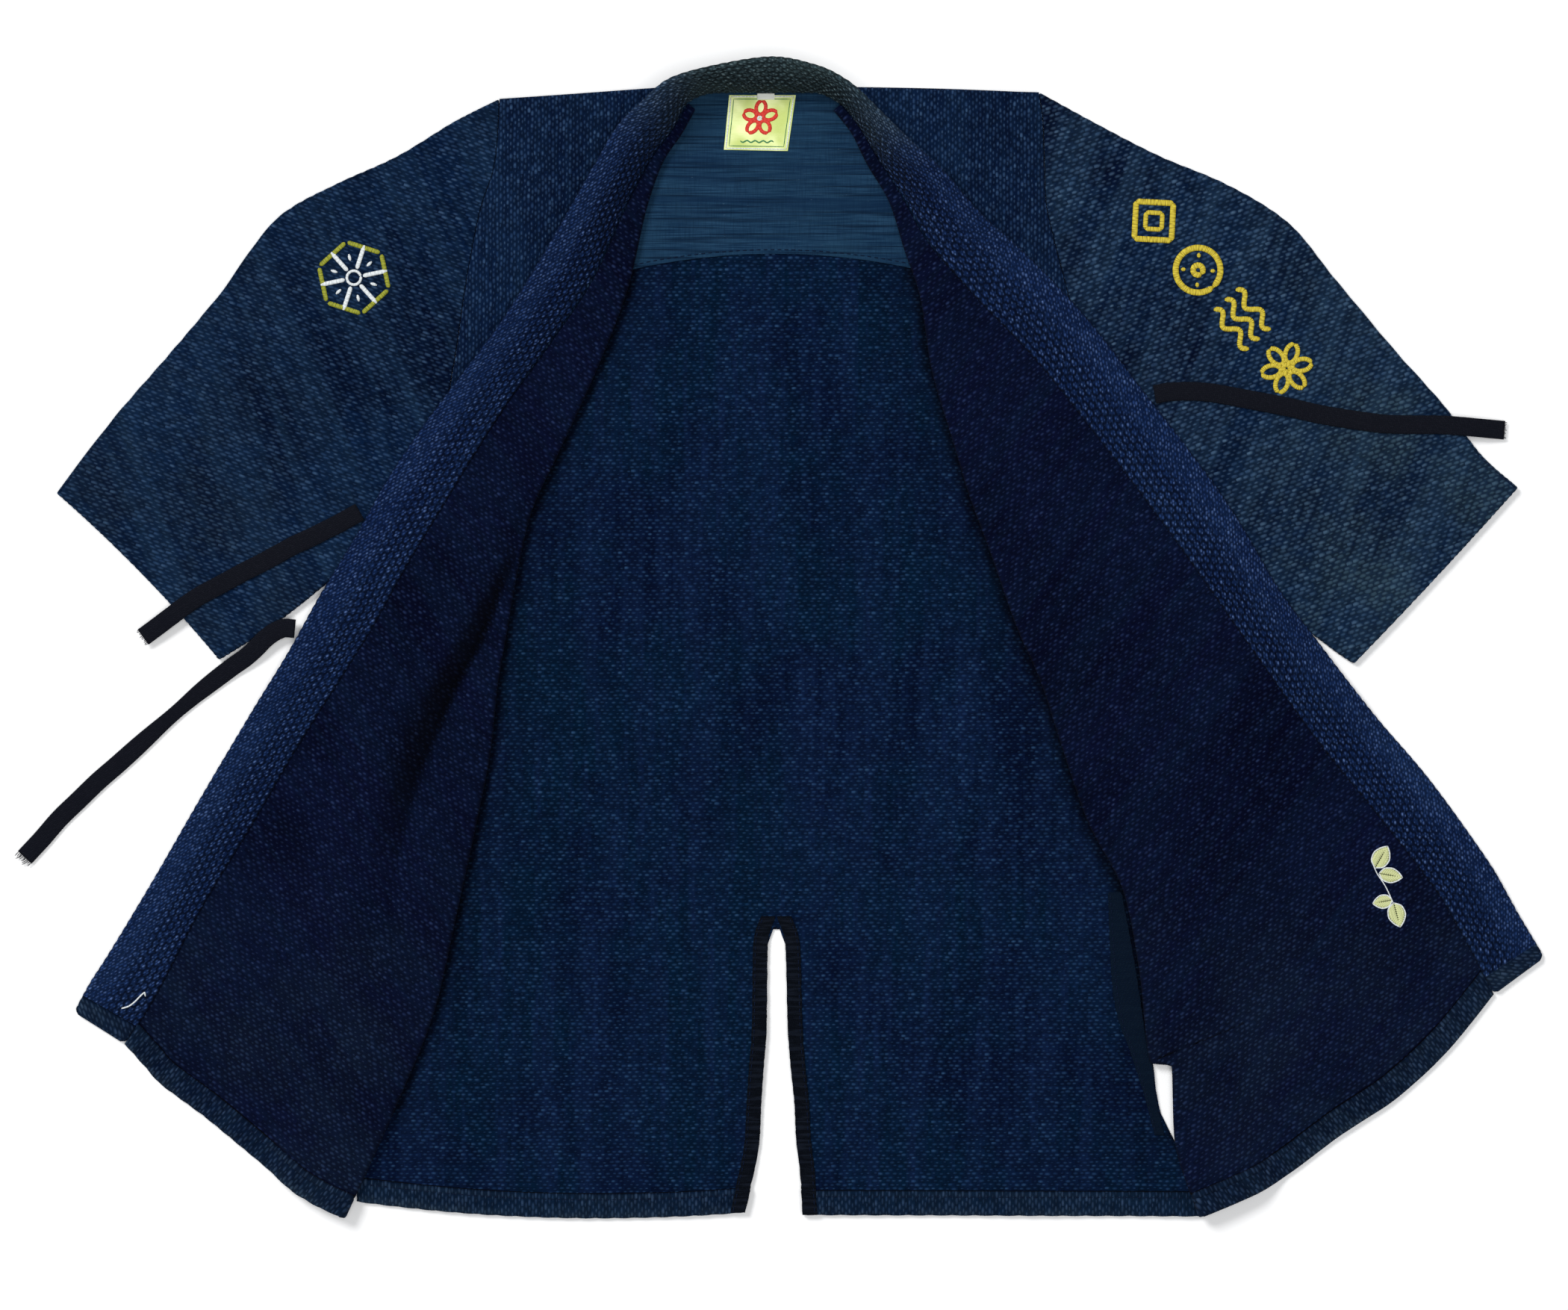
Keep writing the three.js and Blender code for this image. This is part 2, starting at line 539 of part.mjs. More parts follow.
// The collar band: one doubled strip from hem to hem round the neck, ribbed on its upper face.
function makeCollar() {
  const along = (rows) => stepsOf(rows).map((t) => ({ rows, t }));
  const neck = NECK.map((row, t) => ({ rows: NECK, t, root: BAND_ROOT }));
  const stations = [...along(RIGHT_FRONT).reverse(), ...neck, ...along(LEFT_FRONT)];
  const columns = 2 * BAND_RIBS;
  const upper = [];
  const lower = [];
  for (const { rows, t, root } of stations) {
    const seam = pointAt(rows, "seam", t);
    const edge = pointAt(rows, "edge", t);
    const stand = through(rows.map((row) => row.stand), t);
    const out = unit(seam, edge);
    const angleAt = (u) => THREE.MathUtils.degToRad(stand * lerp(NECK_ROOT_ANGLE, NECK_EDGE_ANGLE, u));
    const profile = [{ across: 0, up: 0 }];
    for (let j = 0; j < columns; j++) {
      const angle = angleAt((j + 0.5) / columns);
      const before = profile[j];
      profile.push({
        across: before.across + Math.cos(angle) * (BAND_WIDTH / columns),
        up: before.up + Math.sin(angle) * (BAND_WIDTH / columns),
      });
    }
    const fit = distance(seam, edge) / profile[columns].across;
    const base = root ?? clear(onBody(...seam));
    const top = [];
    const bottom = [];
    profile.forEach(({ across, up }, j) => {
      const angle = angleAt(j / columns);
      const lean = { across: -Math.sin(angle), up: Math.cos(angle) };
      const rib = j % 2 === 1 ? RIB_HEIGHT : 0;
      const plan = moved(seam, out, across * fit);
      const settled = stand > 0.5 ? base : clear(onBody(...plan));
      const z = lerp(settled, base, stand) + up;
      bottom.push([...moved(plan, out, -lean.across * BAND_THICKNESS), z]);
      top.push([...moved(plan, out, lean.across * rib), z + lean.up * (BAND_THICKNESS + rib)]);
    });
    upper.push(top);
    lower.push(bottom);
  }
  add("collar", wallBetween(upper, lower), materials.collar);
}

function makeYokeLining() {
  const columns = 12;
  const under = [];
  const over = [];
  for (const v of [0, 0.5, 1]) {
    const line = [];
    for (let j = 0; j <= columns; j++) {
      const x = lerp(YOKE.left, YOKE.right, j / columns);
      line.push([x, lerp(yokeTop(x), yokeHem(x), v)]);
    }
    under.push(line.map((p) => [...p, CLOTH + GAP]));
    over.push(line.map((p) => [...p, CLOTH + GAP + LINING]));
  }
  add("yoke_lining", wallBetween(under, over), materials.lining);
}

function makeFlatPatch(name, topLeft, topRight, bottomLeft, bottomRight, base, thickness) {
  const raised = (z) => [
    [[...topLeft, z], [...topRight, z]],
    [[...bottomLeft, z], [...bottomRight, z]],
  ];
  add(name, wallBetween(raised(base), raised(base + thickness)), materials.label);
}

function makeLabels() {
  const base = CLOTH + LINING + 2 * GAP;
  const { topLeft, topRight, bottomLeft, bottomRight } = LABEL_CORNERS;
  makeFlatPatch("label", topLeft, topRight, bottomLeft, bottomRight, base, LABEL);
  const { left, right, top, bottom } = SIZE_TAB;
  const corners = [[left, top], [right, top], [left, bottom], [right, bottom]];
  makeFlatPatch("size_tab", ...corners, base + LABEL + GAP, LABEL);
}

// A tape lies on the back from row to row: inner and outer are its two edges.
function makeTape(name, rows) {
  const under = rows.map(({ inner, outer, y, z }) => [[inner, y, z], [outer, y, z]]);
  const over = under.map((row) => row.map(([x, y, z]) => [x, y, z + TAPE]));
  add(name, wallBetween(under, over), materials.tape);
}

function makeTapes() {
  const onCloth = CLOTH + GAP;
  const open = BACK_ROWS.slice(SLIT_TOP_ROW + 1);
  for (const [name, edge, hemPoint, outwards] of [
    ["centre_slit_tape_right", "gapLeft", BACK_HEM.gapLeft, -1],
    ["centre_slit_tape_left", "gapRight", BACK_HEM.gapRight, 1],
  ]) {
    const topEdge = edge === "gapLeft" ? SLIT_TAPE_TOP.left : SLIT_TAPE_TOP.right;
    const across = (x, y, z) => ({ inner: x + outwards * SLIT_TAPE_WIDTH, outer: x, y, z });
    const rows = [across(topEdge, SLIT_TAPE_TOP.y, onCloth)];
    open.forEach((row) => rows.push(across(row[edge], row.y, onCloth)));
    const hemTop = hemPoint[1] + HEM_DEPTH;
    const fromRow = open[open.length - 1];
    const hemX = lerp(fromRow[edge], hemPoint[0], (fromRow.y - hemTop) / (fromRow.y - hemPoint[1]));
    rows.push(across(hemX, hemTop + TAPE + GAP, onCloth));
    rows.push(across(hemX, hemTop - GAP, onCloth + CLOTH));
    rows.push(across(hemPoint[0], hemPoint[1] + GAP, onCloth + CLOTH));
    makeTape(name, rows);
  }
  makeTape("side_slit_tape_left", SIDE_TAPE.map((row) => ({ ...row, z: onCloth })));
}

// A tie is a flat woven strip with its long edges eased off.
function makeTie(name, route) {
  const half = { thick: TIE_THICKNESS / 2, wide: TIE_WIDTH / 2 };
  const section = new THREE.Shape();
  section.moveTo(half.thick - TIE_CORNER, -half.wide);
  section.lineTo(half.thick, TIE_CORNER - half.wide);
  section.lineTo(half.thick, half.wide - TIE_CORNER);
  section.lineTo(half.thick - TIE_CORNER, half.wide);
  section.lineTo(TIE_CORNER - half.thick, half.wide);
  section.lineTo(-half.thick, half.wide - TIE_CORNER);
  section.lineTo(-half.thick, TIE_CORNER - half.wide);
  section.lineTo(TIE_CORNER - half.thick, -half.wide);
  section.closePath();
  const path = new THREE.CatmullRomCurve3(route.map((p) => new THREE.Vector3(...p)));
  const steps = Math.round(path.getLength() / TIE_STEP);
  const geometry = new THREE.ExtrudeGeometry(section, { steps, extrudePath: path, bevelEnabled: false });
  add(name, geometry, materials.tie);
}

makeBack();
makeYokeLining();
makeLabels();
makeTapes();
makeSleeve("sleeve_right", RIGHT_SLEEVE, RIGHT_FRONT, RIGHT_CUFF_BOW);
makeSleeve("sleeve_left", LEFT_SLEEVE, LEFT_FRONT, LEFT_CUFF_BOW);
makeFront("front_right", RIGHT_FRONT, RIGHT_HEM_BOW, { at: 0.85, lift: 14 });
makeFront("front_left", LEFT_FRONT, LEFT_HEM_BOW, { at: 0.9, lift: 14 });
makeCollar();
makeTie("tie_right_upper", TIE_RIGHT_UPPER);
makeTie("tie_right_lower", TIE_RIGHT_LOWER);
makeTie("tie_left", TIE_LEFT);

export default jacket;
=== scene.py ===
# %% [markdown]
# # A kendo jacket laid open on its back
# The jacket is sewn from thick indigo cotton: a back, two fronts turned open, two wide sleeves and a
# ribbed collar band that runs from hem to hem. First we load the rigid model that these looks are
# built around. Its nodes say where each piece lies, and the pieces made below stand in for them.

import math

import bpy
import numpy as np
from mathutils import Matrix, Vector


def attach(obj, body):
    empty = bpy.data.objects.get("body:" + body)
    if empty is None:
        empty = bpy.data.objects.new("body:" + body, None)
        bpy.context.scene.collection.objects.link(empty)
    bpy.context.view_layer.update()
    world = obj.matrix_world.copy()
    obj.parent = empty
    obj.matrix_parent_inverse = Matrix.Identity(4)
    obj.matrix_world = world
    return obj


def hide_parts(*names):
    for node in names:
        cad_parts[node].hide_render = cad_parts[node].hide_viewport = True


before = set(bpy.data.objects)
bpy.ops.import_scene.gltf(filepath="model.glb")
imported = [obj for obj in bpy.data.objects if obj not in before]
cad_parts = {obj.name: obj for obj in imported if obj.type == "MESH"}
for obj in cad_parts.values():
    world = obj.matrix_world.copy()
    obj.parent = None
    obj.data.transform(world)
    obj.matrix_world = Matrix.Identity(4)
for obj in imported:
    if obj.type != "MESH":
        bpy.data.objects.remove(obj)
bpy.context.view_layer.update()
MM = 0.001  # the pattern is drawn in millimetres, as a maker would; Blender works in metres

# %% [markdown]
# ## Camera
# The picture looks straight down from high above the middle of the jacket, so its outline is nearly
# a flat plan. A long lens 4 m up gives that look, and one scale holds over the whole outline.

# %% Camera
PICTURE_WIDTH = 2100
MM_PER_PIXEL = 0.56
CAMERA_PLACE = (-0.0129, -0.0104, 4.0)

camera_data = bpy.data.cameras.new("overhead")
camera_data.sensor_width = 36
camera_data.lens = camera_data.sensor_width * CAMERA_PLACE[2] / (PICTURE_WIDTH * MM_PER_PIXEL * MM)
camera = bpy.data.objects.new("overhead", camera_data)
camera.location = CAMERA_PLACE
bpy.context.scene.collection.objects.link(camera)
bpy.context.scene.camera = camera
print("lens", round(camera_data.lens, 1), "mm")

# %% [markdown]
# ## Smooth lines
# A tailor marks a few points on the cloth and draws a fair curve through them. `through` does that:
# it passes a smooth line through evenly numbered values, and never swings beyond them. A few short
# helpers for blends, lengths and heights stand beside it.


# %% A smooth line through a few values
def through(values, t):
    """A smooth line through evenly numbered values, read at t."""
    values = np.asarray(values, float)
    t = np.asarray(t, float)
    step = np.diff(values, axis=0)
    product = step[:-1] * step[1:]
    both = np.where(product > 0, step[:-1] + step[1:], 1)
    inner = np.where(product > 0, 2 * product / both, 0)
    slope = np.concatenate([step[:1], inner, step[-1:]])
    i = np.clip(np.floor(t).astype(int), 0, len(step) - 1)
    f = t - i
    if values.ndim > 1:
        f = f[..., None]
    rise = step[i] * f * f * (3 - 2 * f)
    return values[i] + rise + slope[i] * f * (1 - f) ** 2 - slope[i + 1] * f * f * (1 - f)


def lerp(a, b, t):
    return a + (b - a) * t


def smooth(x, low, high):
    """0 below low, 1 above high, and an easy rise between."""
    t = np.clip((x - low) / (high - low), 0, 1)
    return t * t * (3 - 2 * t)


def length_of(vectors):
    return np.linalg.norm(vectors, axis=-1, keepdims=True)


def unit(vectors):
    return vectors / np.maximum(length_of(vectors), 1e-9)


def lengths_along(points):
    """Distance travelled along a line of points, starting from 0."""
    return np.concatenate([[0], np.cumsum(length_of(np.diff(points, axis=0))[:, 0])])


def bow(t):
    """0 at both ends of a span and 1 in its middle."""
    return 4 * t * (1 - t)


def hump(distance, width):
    """1 at no distance, with a soft fall on both sides."""
    return np.exp(-((distance / width) ** 2))


def at_height(flat, z):
    """Points in plan, each given its height."""
    flat = np.asarray(flat, float)
    return np.concatenate([flat, np.broadcast_to(z, flat.shape[:-1])[..., None]], -1)


# %% [markdown]
# ## The cut of the jacket
# These tables are the plan of the open jacket in millimetres. x runs to the wearer's left, y to the
# neck, and the floor is z = 0. Each row of a front crosses it from its side seam to the roll line
# where it turns back, then to the seam of the collar band and the band's free edge. `stand` is 1
# where the band stands up round the neck and 0 where it lies flat.


# %% Tables of the cut
def table(names, rows):
    """Named columns from rows that all list the same things."""
    return {name: np.array([row[k] for row in rows], float) for k, name in enumerate(names.split())}


RIGHT_FRONT = table("side roll seam edge stand", [
    ((-226, 406), (-79, 398), (-85, 403), (-99, 416), 0.95),
    ((-227, 381), (-89, 380), (-96, 384), (-118, 400), 0.88),
    ((-230, 355), (-103, 359), (-111, 364), (-135, 384), 0.72),
    ((-240, 324), (-115, 326), (-129, 331), (-158, 346), 0.6),
    ((-251, 268), (-129, 266), (-157, 270), (-189, 293), 0.42),
    ((-258, 220), (-148, 215), (-191, 219), (-222, 241), 0.25),
    ((-264, 184), (-166, 174), (-220, 178), (-254, 199), 0.1),
    ((-269, 145), (-183, 138), (-245, 139), (-280, 165), 0.03),
    ((-274, 107), (-203, 93), (-270, 98), (-309, 122), 0),
    ((-279, 55), (-213, 48), (-298, 52), (-336, 74), 0),
    ((-285, 10), (-220, 8), (-321, 10), (-361, 33), 0),
    ((-290, -30), (-227, -32), (-347, -31), (-385, -10), 0),
    ((-296, -79), (-232, -79), (-375, -75), (-413, -55), 0),
    ((-303, -141), (-244, -141), (-412, -138), (-451, -119), 0),
    ((-310, -200), (-258, -205), (-450, -201), (-488, -183), 0),
    ((-318, -264), (-274, -275), (-479, -257), (-522, -239), 0),
    ((-333, -343), (-304, -350), (-491, -278), (-533, -256), 0),
    ((-354, -421), (-341, -432), (-507, -302), (-545, -278), 0),
])
LEFT_FRONT = table("side roll seam edge stand", [
    ((178, 411), (24, 397), (30, 402), (34, 415), 1),
    ((181, 388), (37, 381), (44, 385), (60, 391), 1),
    ((182, 360), (49, 357), (58, 361), (83, 369), 0.9),
    ((183, 331), (66, 328), (76, 333), (106, 349), 0.6),
    ((189, 302), (77, 293), (95, 299), (134, 319), 0.25),
    ((199, 263), (89, 257), (127, 261), (164, 293), 0.05),
    ((209, 218), (97, 206), (175, 211), (210, 246), 0),
    ((221, 159), (114, 148), (223, 151), (260, 182), 0),
    ((232, 107), (125, 111), (250, 116), (288, 146), 0),
    ((235, 66), (142, 65), (286, 67), (325, 94), 0),
    ((236, 13), (161, 11), (324, 13), (359, 37), 0),
    ((237, -30), (179, -30), (356, -32), (388, -2), 0),
    ((238, -79), (195, -79), (391, -80), (425, -50), 0),
    ((239, -134), (214, -134), (435, -134), (471, -104), 0),
    ((254, -191), (242, -190), (480, -193), (520, -173), 0),
    ((265, -247), (253, -247), (491, -212), (530, -191), 0),
    ((274, -316), (262, -316), (496, -221), (535, -200), 0),
    ((290, -319), (277, -318), (497, -223), (536, -202), 0),
    ((291, -370), (279, -370), (503, -234), (542, -212), 0),
    ((309, -421), (297, -431), (519, -265), (557, -237), 0),
])
NECK = table(
    "seam edge stand",
    [((-63, 411), (-69, 425.5), 1), ((-27, 411), (-22, 433), 1), ((8, 411), (10, 427), 1)],
)
ARMHOLE_ROWS = 8  # both fronts reach the underarm at this row of their tables
# The back below the underarm, and the two edges of the slit up the middle of its hem
BACK_BELOW = table("y left gap_left gap_right right", [
    (-30, -290, -25, -13, 238),
    (-134, -302, -25, -13, 240),
    (-191, -309, -23, -15, 246),
    (-216, -312, -21, -16, 250),
    (-227, -313, -25, -12, 252),
    (-291, -321, -26, -10, 262),
    (-318, -324, -28, -8, 264),
    (-348, -326, -30, -5, 268),
    (-371, -328, -31, -4, 278),
    (-396, -330, -35, -1, 290),
])
SLIT_TOP_ROW = 3  # the slit is open from this row down
BACK_HEM = {"left": (-333, -420), "gap_left": (-42, -428), "gap_right": (1, -430), "right": (300, -431)}
RIGHT_SLEEVE = table("top under", [
    ((-226, 406), (-274, 107)),
    ((-258, 390), (-290, 95)),
    ((-303, 363), (-308, 82)),
    ((-347, 343), (-330, 65)),
    ((-390, 319), (-350, 48)),
    ((-437, 258), (-378, 25)),
    ((-476, 212), (-397, 11)),
    ((-516, 166), (-418, -3)),
    ((-558, 111), (-436, -14)),
])
LEFT_SLEEVE = table("top under", [
    ((178, 411), (232, 107)),
    ((222, 387), (256, 93)),
    ((269, 363), (280, 77)),
    ((319, 342), (305, 61)),
    ((364, 314), (330, 45)),
    ((400, 271), (352, 29)),
    ((441, 222), (374, 12)),
    ((482, 176), (390, 0)),
    ((511, 138), (402, -9)),
    ((537, 115), (414, -17)),
])
# The lining's two long edges fall away from the middle by drop times the distance squared
YOKE = {
    "left": -218, "right": 172, "middle": -20,
    "hem": 290, "hem_drop": 0.00103, "top": 412, "top_drop": 0.00022,
}
print("rows: right front", len(RIGHT_FRONT["side"]), "left front", len(LEFT_FRONT["side"]))

# %% [markdown]
# ## How high everything lies
# Each layer of this cloth is more than 2 mm thick, and where one lies on another it is lifted. Rather
# than pile meshes up by eye, we keep one function for the height of whatever is underneath. A stiff
# cloth does not drop straight off an edge below it, so `draped` lets it sink over a few centimetres.

# %% Heights of the layers
CLOTH = 2.2
LINING = 0.8
GAP = 0.3  # between a layer and the one that it lies on
SEAM_GAP = 0.3  # between two pieces that meet edge to edge
SLEEVE_HOLLOW = 0.6
SLEEVE_TOP = 2 * CLOTH + SLEEVE_HOLLOW
ROLL_RADIUS = 1.4  # inside the bend where a front turns back
HEM_DEPTH = 18
SPAN, FALL = 24, 32  # how far a layer stays up beyond an edge, and then how far it takes to come down
HEM_SPAN = (20, 76)  # how far above the back's thick hem it starts to come down, and stops


def nearest_on(a, b, x, y):
    """Which share of the way from a to b is nearest to each point, and how far off it is."""
    run, rise = b - a
    t = np.clip(((x - a[0]) * run + (y - a[1]) * rise) / (run * run + rise * rise), 0, 1)
    return t, np.hypot(x - a[0] - run * t, y - a[1] - rise * t)


def distance_to_line(line, x, y):
    """The distance in plan from each point to a line of points."""
    return np.minimum.reduce([nearest_on(a, b, x, y)[1] for a, b in zip(line[:-1], line[1:])])


def distance_to(outline, x, y):
    """0 inside an outline, else the distance to it, in plan."""
    x, y = np.asarray(x, float), np.asarray(y, float)
    closed = np.concatenate([outline, outline[:1]])
    inside = np.zeros(x.shape, bool)
    for a, b in zip(closed[:-1], closed[1:]):
        run, rise = b - a
        if rise:
            inside ^= ((a[1] > y) != (b[1] > y)) & (x < a[0] + (y - a[1]) / rise * run)
    return np.where(inside, 0, distance_to_line(closed, x, y))


def draped(past):
    """Share of a layer's height left at this distance beyond the edge that holds it up."""
    return 1 - smooth(past, SPAN, SPAN + FALL)


def yoke_hem(x):
    return YOKE["hem"] - YOKE["hem_drop"] * (x - YOKE["middle"]) ** 2


def yoke_top(x):
    return YOKE["top"] - YOKE["top_drop"] * (x - YOKE["middle"]) ** 2


below = BACK_BELOW
BODY_OUTLINE = np.array(
    [
        *RIGHT_FRONT["side"][: ARMHOLE_ROWS + 1],
        *zip(below["left"], below["y"]),
        BACK_HEM["left"],
        BACK_HEM["right"],
        *list(zip(below["right"], below["y"]))[::-1],
        *LEFT_FRONT["side"][: ARMHOLE_ROWS + 1][::-1],
    ],
    float,
)
SLEEVE_OUTLINES = [np.concatenate([s["top"], s["under"][::-1]]) for s in (RIGHT_SLEEVE, LEFT_SLEEVE)]
YOKE_OUTLINE = np.array(
    [
        (YOKE["left"], yoke_top(YOKE["left"])),
        (YOKE["right"], yoke_top(YOKE["right"])),
        (YOKE["right"], yoke_hem(YOKE["right"])),
        (YOKE["middle"], YOKE["hem"]),
        (YOKE["left"], yoke_hem(YOKE["left"])),
    ]
)


def on_back(x, y):
    """Height of the underside of a front's lower layer, on the back, its hem and the lining."""
    from_hem = y - (BACK_HEM["left"][1] + BACK_HEM["right"][1]) / 2 - HEM_DEPTH
    on_hem = 1 - smooth(from_hem, *HEM_SPAN)
    return CLOTH + GAP + CLOTH * on_hem + (LINING + GAP) * draped(distance_to(YOKE_OUTLINE, x, y))


def on_body(x, y):
    """Height of whatever lies over the body and the sleeves."""
    body = (on_back(x, y) + CLOTH) * draped(distance_to(BODY_OUTLINE, x, y))
    sleeves = [SLEEVE_TOP * draped(distance_to(outline, x, y)) for outline in SLEEVE_OUTLINES]
    return np.maximum.reduce([body, *sleeves])


def clear(height):
    """A small gap above a height, and none above the bare floor."""
    return height + GAP * np.minimum(1, height)


print("over the back", round(float(on_back(-20, 0)), 2), "mm")
print("over the body", round(float(on_body(-20, 0)), 2), "mm")

# %% [markdown]
# ## Cloth that isn't quite flat
# A worn jacket keeps low waves in every layer at once, because the layers press on each other. So
# one `ripple` lifts all of them together: a handful of sine waves in seeded directions, low enough
# that no layer passes through the next.

# %% Low waves shared by every layer
RIPPLE_HEIGHT = 1.5
WAVE_COUNT = 9
waves_seed = np.random.default_rng(7)
angles = waves_seed.uniform(0, math.pi, WAVE_COUNT)
wavelengths = waves_seed.uniform(45, 190, WAVE_COUNT)
phases = waves_seed.uniform(0, 2 * math.pi, WAVE_COUNT)
WAVES = list(zip(angles, wavelengths, phases))


def ripple(x, y):
    total = 0
    for angle, wavelength, phase in WAVES:
        along = x * math.cos(angle) + y * math.sin(angle)
        total = total + np.sin(2 * math.pi * along / wavelength + phase)
    return RIPPLE_HEIGHT * smooth(total / len(WAVES), -0.75, 0.75)


def settled(points):
    """Points in millimetres, lifted by the ripple. What is on the floor stays there."""
    lifted = np.array(points, float)
    held = np.clip(lifted[..., 2] / CLOTH, 0, 1)
    lifted[..., 2] += ripple(lifted[..., 0], lifted[..., 1]) * held
    return lifted


print("ripple at the middle", round(float(ripple(0.0, 0.0)), 2), "mm")

# %% [markdown]
# ## A wall of cloth
# A plane has no thickness, and seen from the side it would vanish. `cloth_wall` takes a grid of
# points down the middle of the cloth and lays one face above it and one below. Near every edge the
# two faces close in on each other along a round, so a cut or folded edge catches light as cloth does.

# %% Build a closed, round-edged wall from one grid of points
EDGE_ROUND = 0.55  # radius of a wall's round edge, as a share of its thickness
EDGE_SHARES = (0.1, 0.4, 1.0)  # where the extra lines of an edge lie, in shares of that radius
EDGE_GRAIN, EDGE_RISE = 4.6, 0.5  # pitch and height of the grains that show at an edge
# The first and last row of a grid, then its first and last column, each with the line just inside it
EDGES = [
    (np.s_[0], np.s_[1]), (np.s_[-1], np.s_[-2]),
    (np.s_[:, 0], np.s_[:, 1]), (np.s_[:, -1], np.s_[:, -2]),
]


def with_edge_lines(grid, axis, radius):
    """Adds lines of points just inside both ends of a grid, for its edge to be round."""
    lines = np.moveaxis(grid, axis, 0)

    def between(edge, inner):
        gap = np.maximum(length_of(inner[:, :3] - edge[:, :3]), 1e-6)
        return [edge + (inner - edge) * np.minimum(radius * s / gap, 0.7 * s) for s in EDGE_SHARES]

    first, last = between(lines[0], lines[1]), between(lines[-1], lines[-2])[::-1]
    return np.moveaxis(np.array([lines[0], *first, *lines[1:-1], *last, lines[-1]]), 0, axis)


def distance_from_edge(middle, filled, looped):
    """How far each point of a grid is from the cloth's edge, along the grid's lines."""
    wrap = "wrap" if looped else "constant"
    cells = np.pad(np.pad(filled, ((1, 1), (0, 0))), ((0, 0), (1, 1)), mode=wrap)
    if looped:
        cells = cells[:, :-1]
    around = cells[:-1, :-1] & cells[1:, :-1] & cells[:-1, 1:] & cells[1:, 1:]
    far = np.where(around, np.inf, 0)
    down = length_of(np.diff(middle, axis=0))[..., 0]
    across = length_of(np.diff(middle, axis=1))[..., 0]
    for _ in range(5):
        far[1:] = np.minimum(far[1:], far[:-1] + down)
        far[:-1] = np.minimum(far[:-1], far[1:] + down)
        if not looped:
            far[:, 1:] = np.minimum(far[:, 1:], far[:, :-1] + across)
            far[:, :-1] = np.minimum(far[:, :-1], far[:, 1:] + across)
    return far, ~around


def directions(grid, axis, looped=False):
    if looped:
        return unit(np.roll(grid, -1, axis) - np.roll(grid, 1, axis))
    return unit(np.gradient(grid, axis=axis))


def bumps(travelled, pitch=EDGE_GRAIN, mean=0.6):
    """How far grains stand out along an edge. Less their mean, they leave the edge where it was."""
    return EDGE_RISE * (np.abs(np.sin(math.pi * travelled / pitch)) - mean)


def woven_edge(grid, rough):
    """Moves the free edges of a grid in and out a little, as the grains of the weave do."""
    grid = grid.copy()
    for wanted, (edge, inner) in zip(rough, EDGES):
        if wanted:
            line = grid[edge][:, :3]
            outward = unit(line - grid[inner][:, :3])[:, :2]
            grid[edge][:, :2] += outward * bumps(lengths_along(line))[:, None]
    return grid


def cloth_wall(
    name, grid, looks, filled=None, looped=False, edged=(True, True), looks_of=None, rough=(False,) * 4
):
    """A closed wall of cloth from a grid of (x, y, z, thickness, relief, wear, u, v).

    relief is added to the upper face alone. The sixth number goes to the shader: rubbed places above 0,
    painted shade below 0. u, v is the place on the cloth in millimetres. looks_of(rows, columns, grid)
    gives the material numbers of both faces.
    rough says which of the four EDGES show the grain."""
    grid = woven_edge(grid, rough)
    if edged[0]:
        grid = with_edge_lines(grid, 0, CLOTH * EDGE_ROUND)
    if edged[1]:
        grid = with_edge_lines(grid, 1, CLOTH * EDGE_ROUND)
    rows, columns = grid.shape[:2]
    cell_columns = columns if looped else columns - 1
    filled = np.ones((rows - 1, cell_columns), bool) if filled is None else filled(grid)
    middle, place = grid[..., :3], grid[..., 6:8]
    thickness, relief, wear_and_shade = (grid[..., k] for k in (3, 4, 5))
    away = np.cross(directions(middle, 0), directions(middle, 1, looped))
    # the first columns of every grid lie with their upper face up
    if away[:, : max(3, columns // 8), 2].sum() < 0:
        away = -away
    away = unit(away)
    far, on_edge = distance_from_edge(middle, filled, looped)
    radius = np.maximum(thickness, 0.1) * EDGE_ROUND
    pinch = np.sqrt(np.clip(1 - (1 - np.minimum(far, radius) / radius) ** 2, 0, 1))
    half = (thickness / 2 * pinch)[..., None]
    upper = middle + away * (half + (relief * pinch)[..., None])
    lower = middle - away * half
    number = np.arange(rows * columns).reshape(rows, columns)
    under = np.where(on_edge, number, number + rows * columns)
    i, j = np.nonzero(filled)
    corners = [(i, j), (i, (j + 1) % columns), (i + 1, (j + 1) % columns), (i + 1, j)]
    top = np.stack([number[c] for c in corners], 1)
    bottom = np.stack([under[c] for c in corners], 1)[:, ::-1]
    points = np.concatenate([upper.reshape(-1, 3), lower.reshape(-1, 3)])
    shown = looks_of(i, j, grid) if looks_of else (0, 0)
    shown = np.concatenate([np.broadcast_to(look, len(i)) for look in shown])
    return make_piece(
        name, points, np.concatenate([top, bottom]), looks,
        np.tile(place.reshape(-1, 2), (2, 1)), shown, np.tile(wear_and_shade.ravel(), 2),
    )


def dress(piece, node):
    """The piece rides on the jacket's one body and stands for a node of the rigid model."""
    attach(piece, "root")
    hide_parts(node)
    return piece


def volume_of(points, faces):
    a, b, c, d = (points[faces[:, k]] for k in range(4))
    return (np.einsum("ij,ij->i", a, np.cross(b, c)) + np.einsum("ij,ij->i", a, np.cross(c, d))).sum() / 6


